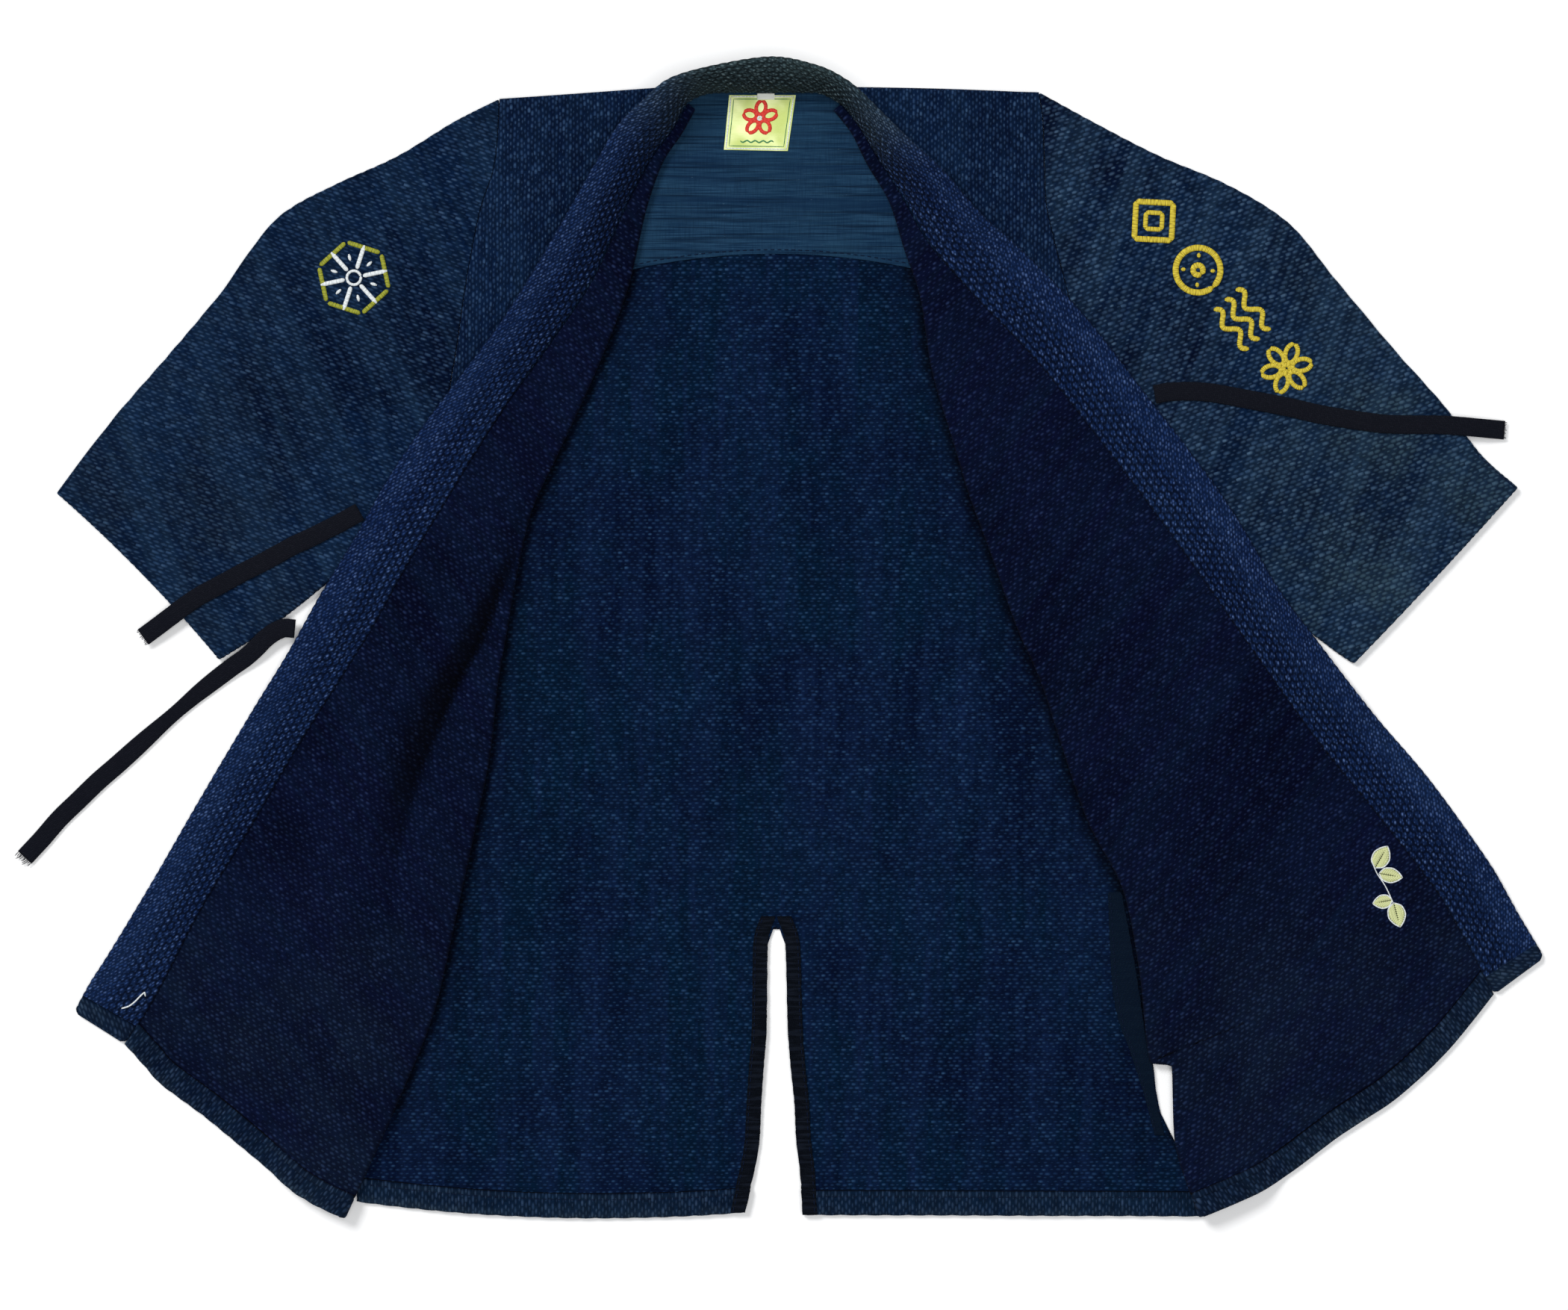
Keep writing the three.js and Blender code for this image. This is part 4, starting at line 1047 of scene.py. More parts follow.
def thread_work(name, looks, strands):
    """One object from many strands, each given as (line, width, height, number of its material)."""
    points, faces, places, numbers, total = [], [], [], [], 0
    for line, width, height, look in strands:
        skin, walls, place = strand(line, width, height, 6 if width < 1 else 8)
        points.append(skin)
        faces.append(walls + total)
        places.append(place)
        numbers.append(np.full(len(walls), look))
        total += len(skin)
    points, faces, places, numbers = (np.concatenate(part) for part in (points, faces, places, numbers))
    piece = make_piece(name, points, faces, looks, places, numbers)
    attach(piece, "root")
    return piece


STITCH = {"length": 3.2, "pitch": 5.2, "width": 0.7, "height": 0.6}
STITCH_AT = np.array([0, 0.12, 0.5, 0.88, 1])  # shares of a stitch's length
STITCH_LIFT = np.array([-0.35, 0, 0.12, 0, -0.35])  # how far it is above the cloth there
THREAD_RISE = 0.2  # how far the middle of a hem stitch or a motif's thread lies above its face


def stitch_lines(line):
    """Short raised stitches along a line on the cloth's surface."""
    line = np.asarray(line, float)
    travelled = lengths_along(line)
    starts = np.arange(STITCH["pitch"] / 2, travelled[-1] - STITCH["length"], STITCH["pitch"])
    stitches = []
    for start in starts:
        at = start + STITCH["length"] * STITCH_AT
        stitch = np.stack([np.interp(at, travelled, line[:, k]) for k in range(3)], 1)
        stitch[:, 2] += STITCH_LIFT
        stitches.append((stitch, STITCH["width"], STITCH["height"], 0))
    return stitches


def laid_on(surface, flat):
    """Points in plan, given the height of the surface points that are nearest to each."""
    surface, flat = surface.reshape(-1, 3), np.asarray(flat, float)
    away = np.hypot(flat[:, None, 0] - surface[None, :, 0], flat[:, None, 1] - surface[None, :, 1])
    nearest = np.argsort(away, axis=1)[:, :4]
    weight = 1 / (np.take_along_axis(away, nearest, 1) + 0.2)
    return at_height(flat, (surface[nearest, 2] * weight).sum(1) / weight.sum(1))


print("a stitch is", STITCH["length"], "mm long")

# %% [markdown]
# ## Ties
# Three flat ties of narrow black tape hold the jacket shut when it is worn. Here they lie loose. Each
# is a free end of tape of known length, so it is made first, along the route that the rigid model
# gives it. A curve with a bevel would be quick, but a ribbon mesh also takes a pinched place. The
# cut ends fray, so a few short threads stick out of them.

# %% Ties
TIE_WIDTH, TIE_THICKNESS = 14, 1.8
TIE_ROUTES = {
    "tie_right_upper": [
        (-330.5, 96.7, 6.6), (-338, 92.5, 6.5), (-347, 87.5, 6.4), (-356, 83, 6.3), (-368, 77, 6.3),
        (-380, 71.5, 6.3), (-392, 65, 6.3), (-404, 58.5, 6.3), (-416, 52.5, 6.3), (-428, 46, 6.3),
        (-440, 39.5, 6.3), (-451, 33.5, 6.3), (-462, 26, 6.3), (-472, 18.5, 6.3), (-482, 11, 5.8),
        (-493, 3, 4.4),
    ],
    "tie_right_lower": [
        (-379, 9.2, 6.6), (-386, 9.8, 6.5), (-393, 7.5, 6.4), (-401, 2, 6), (-408, -5, 4.8),
        (-416, -12, 3), (-426, -19, 2), (-438, -28, 1.6), (-452, -39, 1.6), (-466, -51, 1.6),
        (-482, -65, 1.6), (-497, -78.5, 1.6), (-512, -92, 1.6), (-527, -105, 1.6), (-542, -119.5, 1.6),
        (-556, -133, 1.6), (-569, -148, 1.6), (-582, -162, 1.6),
    ],
    "tie_left": [
        (264.5, 184.5, 6.8), (276, 186.5, 6.6), (291, 187, 6.4), (306, 186, 6.3), (321, 183.5, 6.3),
        (337, 180.5, 6.3), (353, 177.5, 6.3), (370, 174, 6.3), (387, 170, 6.3), (404, 167, 6.3),
        (421, 164.5, 6.3), (438, 162.5, 6.3), (456, 162, 6.3), (475, 162, 6.4), (492, 161, 6.5),
        (509, 159.5, 5.6), (527, 158, 2.4),
    ],
}
TIE_PINCH = {"tie_right_lower": (0.24, 0.42)}  # how much narrower, and at which share of its length
TIE_STEP = 2.5
FRAY_LENGTH = {"tie_right_upper": 2.5, "tie_right_lower": 6.0, "tie_left": 2.0}
FRAY_ROOT = 1.5  # how far inside the cut end its threads start
fray_seed = np.random.default_rng(11)


def ribbon(name, centre, width, sides=14):
    """A flat tape with round edges along a line of points. width holds one value for each point."""
    aside, above = directions_across(centre)
    turn = np.linspace(0, 2 * math.pi, sides, endpoint=False)
    flat = np.sign(np.cos(turn)) * np.abs(np.cos(turn)) ** 0.55
    to_end = np.minimum(np.arange(len(centre)), np.arange(len(centre))[::-1])
    round_off = np.minimum(1, to_end / 1.5 + 0.35)
    across = aside[:, None] * (flat[None, :, None] * (width / 2)[:, None, None])
    raised = above[:, None] * (np.sin(turn)[None, :, None] * (TIE_THICKNESS / 2 * round_off)[:, None, None])
    skin = (centre[:, None] + across + raised).reshape(-1, 3)
    place = np.stack([np.repeat(lengths_along(centre), sides), np.tile(flat * TIE_WIDTH / 2, len(centre))], 1)
    return make_piece(name, skin, tube_faces(len(centre), sides), [tie_cloth], place)


def frayed_end(name, centre, length):
    """Threads that stick out of the cut end of a tie."""
    ahead = unit(centre[-1] - centre[-3])[:2]
    aside = np.array([-ahead[1], ahead[0]])
    threads = []
    for across in np.linspace(-0.44, 0.44, 11) * TIE_WIDTH:
        reach = length * fray_seed.uniform(0.35, 1)
        sway = fray_seed.uniform(-0.5, 0.5) * reach
        start = centre[-1, :2] - ahead * FRAY_ROOT + aside * across
        halfway = start + ahead * (FRAY_ROOT + reach * 0.5) + aside * sway * 0.3
        flat = [start, halfway, start + ahead * (FRAY_ROOT + reach) + aside * sway]
        heights = centre[-1, 2] + np.array([0, 0.1, -0.4 * min(1, centre[-1, 2] / 2)])
        threads.append((fair(at_height(flat, heights)), 0.6, 0.5, 0))
    return thread_work(name, [tie_cloth], threads)


for name, route in TIE_ROUTES.items():
    route = np.array(route, float)
    rough = lengths_along(route)[-1]
    centre = through(route, np.linspace(0, len(route) - 1, round(rough / TIE_STEP)))
    share = lengths_along(centre) / lengths_along(centre)[-1]
    pinch, at = TIE_PINCH.get(name, (0, 0.5))
    width = TIE_WIDTH * (1 - pinch * hump(share - at, 0.1))
    tie = dress(ribbon(name + "_band", centre, width), name)
    fray = frayed_end(name + "_fray", centre, FRAY_LENGTH[name])
    path = settled(centre) * MM

# %% [markdown]
# ## Sheet sizes
# Each piece of cloth had a flat shape before it was sewn and laid out. Half of a closed wall's
# surface is the area of the cloth, so printing it beside the flat size shows whether they agree.


# %% Print the sizes of a piece of cloth
def laid_sheet(piece, flat, area, rests_on, with_pieces=()):
    """Prints a piece's flat size, flat = (width, length) in metres, and its area beside half its surface."""
    half_surface = sum(face.area for face in piece.data.polygons) / 2
    print(piece.name, "flat", flat, "m, area", area, "m2; half its surface", round(half_surface, 4), "m2")


# %% [markdown]
# ## Back
# The back is one panel with its hem turned up inside and a slit up the middle for the wearer's stride.
# Its grid follows four lines down the panel: both sides and both edges of the slit. Above the slit
# the two middle lines are only columns of the same cloth. A turned-up hem has a profile of its own:
# a groove where its edge ends, a low ridge, a dip along the stitches, then two flat layers.

# %% Back: helpers and hem
BACK_HEM_BOW = 8  # how far the left half of the hem hangs below a straight line
SHOULDER_BOW = 6.7
CELL = 6  # length of the mesh's cells
# Layers of cloth at each depth, which is the distance above the hem's edge
HEM_PROFILE = {
    "depth": [0, 8, 12.6, 14, 15.3, 16.4, 17.3, 17.9, 19.5],
    "layers": [2.0, 2.04, 2.02, 1.72, 2.02, 2.08, 1.4, 0.82, 1.0],
}
HEM_DEPTHS = np.array([19.2, 18.4, 17.9, 17.5, 17.1, 16.4, 15.3, 14, 12.7, 10, 7, 4.5, 2.4, 0])
HEM_LEAD = 0.8  # the last row of the plain cloth lies this far above the hem's first
STITCH_DEPTH = 14
STITCH_ROW = int(np.argmin(abs(HEM_DEPTHS - STITCH_DEPTH)))
GROOVE_ROWS = 3  # the hem's first rows of faces, down in its groove
FAR_UP = 1e3  # stands for the depth of every row above the hem


def dense(count_of):
    """Row numbers that split each interval of a table into about equal short steps."""
    steps = [np.linspace(k, k + 1, n, endpoint=False) for k, n in enumerate(count_of)]
    return np.concatenate([*steps, [len(count_of)]])


def splits(line, cell=CELL):
    return np.maximum(1, np.round(length_of(np.diff(line, axis=0))[:, 0] / cell)).astype(int)


def layers_at(depth):
    """Thickness of a panel this far above its hem, with the turned-up hem's profile."""
    return CLOTH * np.interp(depth, HEM_PROFILE["depth"], HEM_PROFILE["layers"])


def hem_wear_and_shade(depth):
    """The hem's edge is rubbed most and its ridge a little; its groove gets painted shade."""
    edge = 0.9 - 0.75 * smooth(depth, 1.0, 7)
    # the negative dip at depth 18 is painted shade in the groove
    return edge + 0.25 * hump(depth - 16, 1.2) - 1.7 * hump(depth - 18.0, 0.9)


def fold_along(folds, x, y):
    """Low soft folds: each is (start, end, height, half width)."""
    lift = np.zeros(np.shape(x))
    for start, stop, height, width in folds:
        along, aside = nearest_on(np.array(start, float), np.array(stop, float), x, y)
        lift += height * bow(along) * hump(aside, width)
    return lift


print("hem rows at depths", HEM_DEPTHS.tolist())

# %% Back: grid and piece
BACK_FOLDS = [
    ((148, 30), (190, -120), 2.2, 5),
    ((-60, 250), (-84, -60), 0.9, 26),
    ((70, 200), (96, -40), 0.9, 26),
]
BACK_COLUMNS = 84
sides = {"left": RIGHT_FRONT["side"][: ARMHOLE_ROWS + 1], "right": LEFT_FRONT["side"][: ARMHOLE_ROWS + 1]}
slit_x = {"gap_left": -25, "gap_right": -13}


def height_between(x, a, b):
    return lerp(a[..., 1], b[..., 1], (x - a[..., 0]) / (b[..., 0] - a[..., 0]))


corner_lines = {}
for name in ("left", "gap_left", "gap_right", "right"):
    if name in sides:
        above = sides[name]
    else:
        x = np.full(ARMHOLE_ROWS + 1, float(slit_x[name]))
        above = np.stack([x, height_between(x, sides["left"], sides["right"])], 1)
    under = np.stack([BACK_BELOW[name], BACK_BELOW["y"]], 1)
    hem_top = np.array(BACK_HEM[name], float) + (0, HEM_DEPTHS[0] + HEM_LEAD)
    corner_lines[name] = np.concatenate([above, under, [hem_top]])
slit_row = ARMHOLE_ROWS + 1 + SLIT_TOP_ROW
stations = dense(splits(corner_lines["right"]))
back_rows = [[through(corner_lines[name], t) for name in corner_lines] for t in stations]
back_rows += [[np.array(BACK_HEM[name], float) + (0, depth) for name in corner_lines] for depth in HEM_DEPTHS]
back_rows = np.array(back_rows)
back_depth = np.concatenate([np.full(len(stations), FAR_UP), HEM_DEPTHS])
row_numbers = np.concatenate([stations, stations[-1] + 1 + np.arange(len(HEM_DEPTHS))])
slit_open = row_numbers >= slit_row - 1e-6
capped = np.minimum(row_numbers, stations[-1])
hem_pull = smooth(capped, stations[-1] - 1, stations[-1])[:, None]
shoulder_pull = (np.clip(1 - capped, 0, 1) ** 2)[:, None]
share = np.linspace(0, 1, BACK_COLUMNS)
shoulder_left, shoulder_width = sides["left"][0, 0], sides["right"][0, 0] - sides["left"][0, 0]


def back_half(from_line, to_line, hem_bow):
    half = lerp(back_rows[:, None, from_line], back_rows[:, None, to_line], share[None, :, None])
    half[..., 1] -= hem_pull * hem_bow * bow(share)[None]
    across = np.clip((half[..., 0] - shoulder_left) / shoulder_width, 0, 1)
    half[..., 1] += shoulder_pull * SHOULDER_BOW * bow(across)
    return half


def beside_slit(half, at_end):
    """Lines of points just beside the slit, for its edge to be round."""
    edge, inner = (half[:, -1], half[:, -2]) if at_end else (half[:, 0], half[:, 1])
    lines = [edge + unit(inner - edge) * CLOTH * EDGE_ROUND * part for part in EDGE_SHARES]
    if at_end:
        return np.concatenate([half[:, :-1], np.stack(lines[::-1], 1), half[:, -1:]], 1)
    return np.concatenate([half[:, :1], np.stack(lines, 1), half[:, 1:]], 1)


left_half = beside_slit(back_half(0, 1, BACK_HEM_BOW), True)
slit_column = left_half.shape[1] - 1
plan = np.concatenate([left_half, beside_slit(back_half(2, 3, 0), False)], 1)
thickness = np.broadcast_to(layers_at(back_depth)[:, None], plan.shape[:2])
lift = fold_along(BACK_FOLDS, plan[..., 0], plan[..., 1])
middle = at_height(plan, thickness / 2 + lift)
# painted shade on the back beside the rolls, darkest in a contact line next to each roll
rolls = [front["roll"][:-1] for front in (RIGHT_FRONT, LEFT_FRONT)]
from_roll = np.minimum(*(distance_to_line(line, plan[..., 0], plan[..., 1]) for line in rolls))
# painted shade: darker next to each roll and fading over a few centimetres
painted_shade = 0.6 * hump(from_roll, 5) + 0.3 * hump(from_roll, 45)
wear_and_shade = np.where(back_depth < 30, hem_wear_and_shade(back_depth), 0)[:, None] - painted_shade


def back_cells(grid):
    there = np.ones((grid.shape[0] - 1, grid.shape[1] - 1), bool)
    there[len(EDGE_SHARES) + int(np.argmax(slit_open)) :, slit_column + len(EDGE_SHARES)] = False
    return there


def in_hem(i, grid):
    """Which faces lie in the turned-up hem, below its groove."""
    return grid.shape[0] - 1 - i <= len(HEM_DEPTHS) - 1 - GROOVE_ROWS + len(EDGE_SHARES)


back = cloth_wall(
    "back_cloth", grid_of(middle, thickness, wear_and_shade=wear_and_shade), [back_inner, shoulder_outer, hem_turned["back"]],
    filled=back_cells, rough=(False, True, True, True),
    looks_of=lambda i, j, grid: (np.where(in_hem(i, grid), 2, 0), 1),
)
dress(back, "back")
hem_line = middle[len(stations) + STITCH_ROW].copy()
hem_line[:, 2] = layers_at(STITCH_DEPTH) + THREAD_RISE
back_stitches = thread_work(
    "back_hem_stitches", [seam_thread],
    stitch_lines(hem_line[2 : slit_column - 3]) + stitch_lines(hem_line[slit_column + 5 : -2]),
)
laid_sheet(back, (0.60, 0.86), 0.45, ["floor"], [back_stitches])
print("back", len(back.data.polygons), "faces")

# %% [markdown]
# ## Yoke lining
# A thin plain cotton lines the shoulders inside, where sweat would soak the thick cloth. It lies on
# the back with a narrow hem of its own along the lower edge.

# %% Yoke lining
YOKE_HEM_ROWS = [0.965, 0.975, 0.985, 1.0]
YOKE_HEM = LINING * 1.5
xs = np.linspace(YOKE["left"], YOKE["right"], 90)
down = np.concatenate([np.linspace(0, 0.955, 22), YOKE_HEM_ROWS])
lining_rows = [lerp(yoke_top(xs), yoke_hem(xs), v) for v in down]
thick = np.where(down >= YOKE_HEM_ROWS[0], YOKE_HEM, LINING)[:, None] * np.ones(len(xs))[None]
heights = CLOTH + GAP + thick / 2
middle = np.stack([np.broadcast_to(xs, heights.shape), np.array(lining_rows), heights], 2)
yoke_lining = cloth_wall("yoke_lining_cloth", grid_of(middle, thick), [lining_cloth])
dress(yoke_lining, "yoke_lining")
lining_hem = np.stack([xs, yoke_hem(xs) + 3.2, np.full(len(xs), CLOTH + GAP + YOKE_HEM + 0.1)], 1)
lining_stitches = thread_work("lining_hem_stitches", [seam_thread], stitch_lines(lining_hem))
laid_sheet(yoke_lining, (0.39, 0.13), 0.049, ["back_cloth"], [lining_stitches])

# %% [markdown]
# ## Fronts
# Each front comes up from its side seam, rolls over and lies open with its inner face up, out to the
# collar band. Its grid runs along that path: the lower layer, the bend, the open part. Where the
# doubled cloth rolls it stands proud, and sinks back over a few centimetres. The crease down the
# wearer's right front is a ridge added to the height, steep on the side of the roll, and the cloth
# beside it is darkened with painted shade.

# %% Fronts: folds and creases
LOFT_REACH = 60  # how far from its roll the cloth of a front still stands proud
FRONT_CELLS = {"side": 16, "bend": 8, "open": 60}
# How far the hem hangs below a straight line, in even steps from the roll to the band
HEM_LINES = {
    "front_right": [0, 4.8, 7.2, 6.7, 6.1, 5.6, 5.3, 6.1, 6.8, 3.5, 0],
    "front_left": [0, 7.3, 13.2, 14.6, 14.6, 16.2, 18.1, 16.6, 13, 7, 0],
}
FOLDS = [
    ((282, -290), (305, -400), 3.0, 9),
    ((-330, -120), (-372, -262), 2.0, 24),
    ((330, -110), (372, -255), 2.0, 24),
    ((-345, -285), (-405, -345), 1.6, 18),
    ((330, -330), (430, -290), 1.6, 18),
]
CREASES = {
    "front_right": [
        (-196, 110), (-208.9, 74.8), (-223.4, 52.4), (-231.8, 35.6), (-236.9, 21), (-246.4, -0.8),
        (-256.5, -18.2), (-266, -37.2), (-269.9, -45.6), (-275, -59), (-289.5, -91.6), (-300, -125),
        (-310, -172), (-316, -225),
    ],
}


def crease(line, x, y, height=8.0, behind=34, ahead=5):
    """The lift of a ridge along a line, steep on its left, and the painted shade beside it."""
    line = np.array(line, float)
    best, share, side = np.full(np.shape(x), np.inf), np.zeros(np.shape(x)), np.zeros(np.shape(x))
    count = len(line) - 1
    for k, (a, b) in enumerate(zip(line[:-1], line[1:])):
        run, rise = b - a
        t, away = nearest_on(a, b, x, y)
        nearer = away < best
        best = np.where(nearer, away, best)
        share = np.where(nearer, (k + t) / count, share)
        side = np.where(nearer, np.sign(run * (y - a[1]) - rise * (x - a[0])), side)
    strength = np.sin(math.pi * np.clip(share, 0, 1)) ** 0.6
    lift = height * strength * hump(best, np.where(side > 0, ahead, behind))
    # painted shade beside the crease, on both sides of it
    crease_shade = strength * hump(best, np.where(side > 0, 9, 22 * share + 3))
    return lift, crease_shade


def evened(line, reach=7):
    """A line of points with its small steps averaged out."""
    padded = np.pad(line, ((reach, reach), (0, 0)), mode="edge")
    return np.mean([padded[k : k + len(line)] for k in range(2 * reach + 1)], axis=0)


print("creases:", {name: len(line) for name, line in CREASES.items()})

# %% Fronts: grids and pieces
TUCK = -0.3  # a front's seam edge goes this far under the round edge of a band that lies flat
STAND_GAP = 1.0  # and stops this far short of a band that stands up
CLOSING_ROWS = 7  # rows in the last stretch of plain cloth above the hem
EARLY_PULL = 0.35  # share of the hem's hang that is reached where those rows start


def front_lines(rows):
    """Side, roll and seam lines of a front at every row of its grid.

    Also each row's number in the roll's table, its depth and its share of the hem's hang."""
    last = len(rows["roll"]) - 1
    per_row = dense(splits(rows["roll"][:last]))
    closing = np.linspace(0, 1, CLOSING_ROWS + 1)[1:]
    lines, numbers = {}, {}
    for column in ("side", "roll", "seam"):
        stretch = float(length_of(rows[column][last] - rows[column][last - 1])[0])
        hem_top = last - (HEM_DEPTHS[0] + HEM_LEAD) / stretch
        t = np.concatenate([per_row, lerp(last - 1, hem_top, closing), last - HEM_DEPTHS / stretch])
        lines[column], numbers[column] = through(rows[column], t), t
    depth = np.concatenate([np.full(len(per_row) + len(closing), FAR_UP), HEM_DEPTHS])
    start = smooth(per_row, last - 2, last - 1) * EARLY_PULL
    pull = np.concatenate([start, lerp(EARLY_PULL, 1, smooth(closing, 0, 1)), np.ones(len(HEM_DEPTHS))])
    return lines, numbers["roll"], depth, pull


def front_middle(name, rows, shoulder):
    """The mid-surface of a front, with its thickness, its rubbed places and its painted shade.

    shoulder is where, across the lower layer, its end at the shoulder peaks, and how high."""
    lines, roll_row, depth, pull = front_lines(rows)
    last = len(rows["roll"]) - 1
    thickness = layers_at(depth)[:, None]
    side, roll, seam = lines["side"], lines["roll"], lines["seam"]
    before, after = np.maximum(roll_row - 0.1, 0), np.minimum(roll_row + 0.1, last)
    ahead = unit(through(rows["roll"], after) - through(rows["roll"], before))
    inward = roll - side
    facing = np.sign(ahead[:, 1] * inward[:, 0] - ahead[:, 0] * inward[:, 1])[:, None]
    proud = np.stack([ahead[:, 1], -ahead[:, 0]], 1) * facing
    root = roll - proud * (ROLL_RADIUS + thickness)
    side_edge = side + unit(roll - side) * np.where((roll_row > ARMHOLE_ROWS)[:, None], SEAM_GAP, 0)
    bed = on_back(root[:, 0], root[:, 1])[:, None]
    low_level = bed + thickness
    # the lower layer, outer face up
    u = np.linspace(0, 1, FRONT_CELLS["side"] + 1)[None]
    flat = lerp(side_edge[:, None], root[:, None], u[..., None])
    at, rise = shoulder
    peak = np.where(u < at, u / at, (1 - u) / (1 - at))
    flat[..., 1] += rise * peak * np.clip(1 - roll_row, 0, 1)[:, None] ** 2
    z = lerp(on_back(flat[..., 0], flat[..., 1]), bed, u) + thickness / 2
    lower = at_height(flat, z)
    # the bend
    angle = math.pi * np.arange(1, FRONT_CELLS["bend"])[None] / FRONT_CELLS["bend"]
    radius = ROLL_RADIUS + thickness / 2
    around = root[:, None] + proud[:, None] * (radius * np.sin(angle))[..., None]
    z = low_level + ROLL_RADIUS - radius * np.cos(angle)
    bend = at_height(around, z)
    # the turned-back part, inner face up
    stand = through(rows["stand"], roll_row)[:, None]
    end = seam + unit(root - seam) * lerp(TUCK, STAND_GAP, smooth(stand, 0, 0.4))
    u = np.linspace(0, 1, FRONT_CELLS["open"] + 1)[None]
    flat = lerp(root[:, None], end[:, None], u[..., None])
    chord = unit(seam[-1] - roll[-1])
    downhill = np.array([chord[1] * np.sign(chord[0]), -abs(chord[0])])
    hem_line = through(HEM_LINES[name], u[0] * (len(HEM_LINES[name]) - 1))
    flat = flat + downhill * (pull[:, None] * hem_line[None])[..., None]
    past = length_of(flat - root[:, None])[..., 0]
    even_root = evened(root)
    outward = unit(seam - root)
    past_even = np.einsum("ijk,ik->ij", flat - even_root[:, None], outward)
    proud_by = 2 * ROLL_RADIUS - GAP
    loft = proud_by * (1 - smooth(past_even, 0, LOFT_REACH))
    loft = loft + (proud_by - loft[:, :1]) * np.exp(-past / 6)
    over_side = low_level * draped(past_even - length_of(side - even_root))
    x, y = flat[..., 0], flat[..., 1]
    lift = fold_along(FOLDS, x, y)
    painted_shade = np.zeros(lift.shape)
    if name in CREASES:
        ridge, painted_shade = crease(CREASES[name], x, y)
        lift = lift + ridge * smooth(past, 0, 12)
    z = clear(np.maximum(on_body(x, y), over_side)) + loft + lift + thickness / 2
    middle = np.concatenate([lower, bend, at_height(flat, z)], 1)
    spread = np.ones(middle.shape[1])[None]
    # the lower part of a front is rubbed most
    lower_part = 0.55 * smooth(-roll[:, 1], 120, 330)
    wear_and_shade = np.where(depth < 30, hem_wear_and_shade(depth), lower_part)[:, None] * spread
    # painted shade beside the crease darkens the open part of the front
    wear_and_shade[:, -painted_shade.shape[1] :] -= painted_shade
    return middle, thickness * spread, wear_and_shade


fronts, front_tops = {}, {}
FRONT_SHEETS = {"front_right": ((0.26, 0.86), 0.155), "front_left": ((0.26, 0.86), 0.175)}
for name, rows, shoulder in (("front_right", RIGHT_FRONT, (0.85, 14)), ("front_left", LEFT_FRONT, (0.9, 14))):
    middle, thickness, wear_and_shade = front_middle(name, rows, shoulder)
    front = cloth_wall(
        name + "_cloth", grid_of(middle, thickness, wear_and_shade=wear_and_shade),
        [shoulder_outer, front_inner[name], hem_turned[name]], rough=(False, True, False, False),
        looks_of=lambda i, j, grid: (0, np.where(in_hem(i, grid), 2, 1)),
    )
    fronts[name] = dress(front, name)
    surface = middle.copy()
    surface[..., 2] += thickness / 2
    front_tops[name] = surface[:, FRONT_CELLS["side"] + FRONT_CELLS["bend"] :]
    hem_line = front_tops[name][-len(HEM_DEPTHS) + STITCH_ROW, 2:-2] + (0, 0, THREAD_RISE)
    hem_stitches = thread_work(name + "_hem_stitches", [seam_thread], stitch_lines(hem_line))
    if name == "front_right":
        laid_sheet(front, *FRONT_SHEETS[name], ["back_cloth"], [hem_stitches])
    else:
        left_hem_stitches = hem_stitches
    print(name, len(front.data.polygons), "faces")

# %% [markdown]
# ## Embroidery on the wearer's left front
# Small pale work sits near the hem on the inner face. A plain sprig of leaves stands there. Each leaf
# is laid in fishbone stitch: short strokes that run from its midrib to its edge, as a hand
# embroiderer fills a leaf, with a thin white outline round it.


# %% Leaves in fishbone stitch
def turned_and_placed(points, angle, centre):
    """Points of a small drawing, turned by an angle in degrees and moved to their place."""
    x, y = np.asarray(points, float).T
    c, s = math.cos(math.radians(angle)), math.sin(math.radians(angle))
    return np.stack([x * c - y * s + centre[0], x * s + y * c + centre[1]], 1)


def leaf(centre, angle, length, width):
    """Strokes of one leaf, in plan: (line, width, material number)."""
    outline = np.array([(0, 0), (0.22, 0.42), (0.5, 0.5), (0.78, 0.32), (1, 0)]) * (length, width)
    strokes = []
    for mirror in (1, -1):
        edge = fair(outline * (1, mirror))
        strokes.append((turned_and_placed(edge, angle, centre), 1.0, 1))
        for t in np.linspace(0.14, 0.86, round(length / 2.0)):
            reach = np.interp(t + 0.1, edge[:, 0] / length, np.abs(edge[:, 1])) * mirror * 0.94
            stroke = [(t * length - 1.5, 0.2 * mirror), (min(t + 0.1, 0.97) * length, reach)]
            strokes.append((turned_and_placed(stroke, angle, centre), 2.4, 0))
    return strokes


# Each leaf's foot, its angle, its length and its width
SPRIG = [
    ((430, -170), 60, 19, 13),
    ((433, -174), -10, 18, 11),
    ((444, -196), -75, 19, 13),
    ((443, -194), 190, 15, 10),
]
STEM = [(427, -163), (431, -173), (438, -184), (444, -197)]
sprig_strokes = [stroke for one_leaf in SPRIG for stroke in leaf(*one_leaf)]
sprig_strokes.append((fair(STEM), 0.9, 1))
sprig_lines = []
for line, width, look in sprig_strokes:
    laid = laid_on(front_tops["front_left"], fair(line, 1.5))
    laid[:, 2] += 0.35 + 0.25 * look
    sprig_lines.append((laid, width, 1.1 if look == 0 else 0.9, look))
sprig = thread_work("leaf_sprig", [leaf_thread, white_thread], sprig_lines)
laid_sheet(fronts["front_left"], *FRONT_SHEETS["front_left"], ["back_cloth"], [left_hem_stitches, sprig])
print("sprig of", len(SPRIG), "leaves,", len(sprig_lines), "strokes")

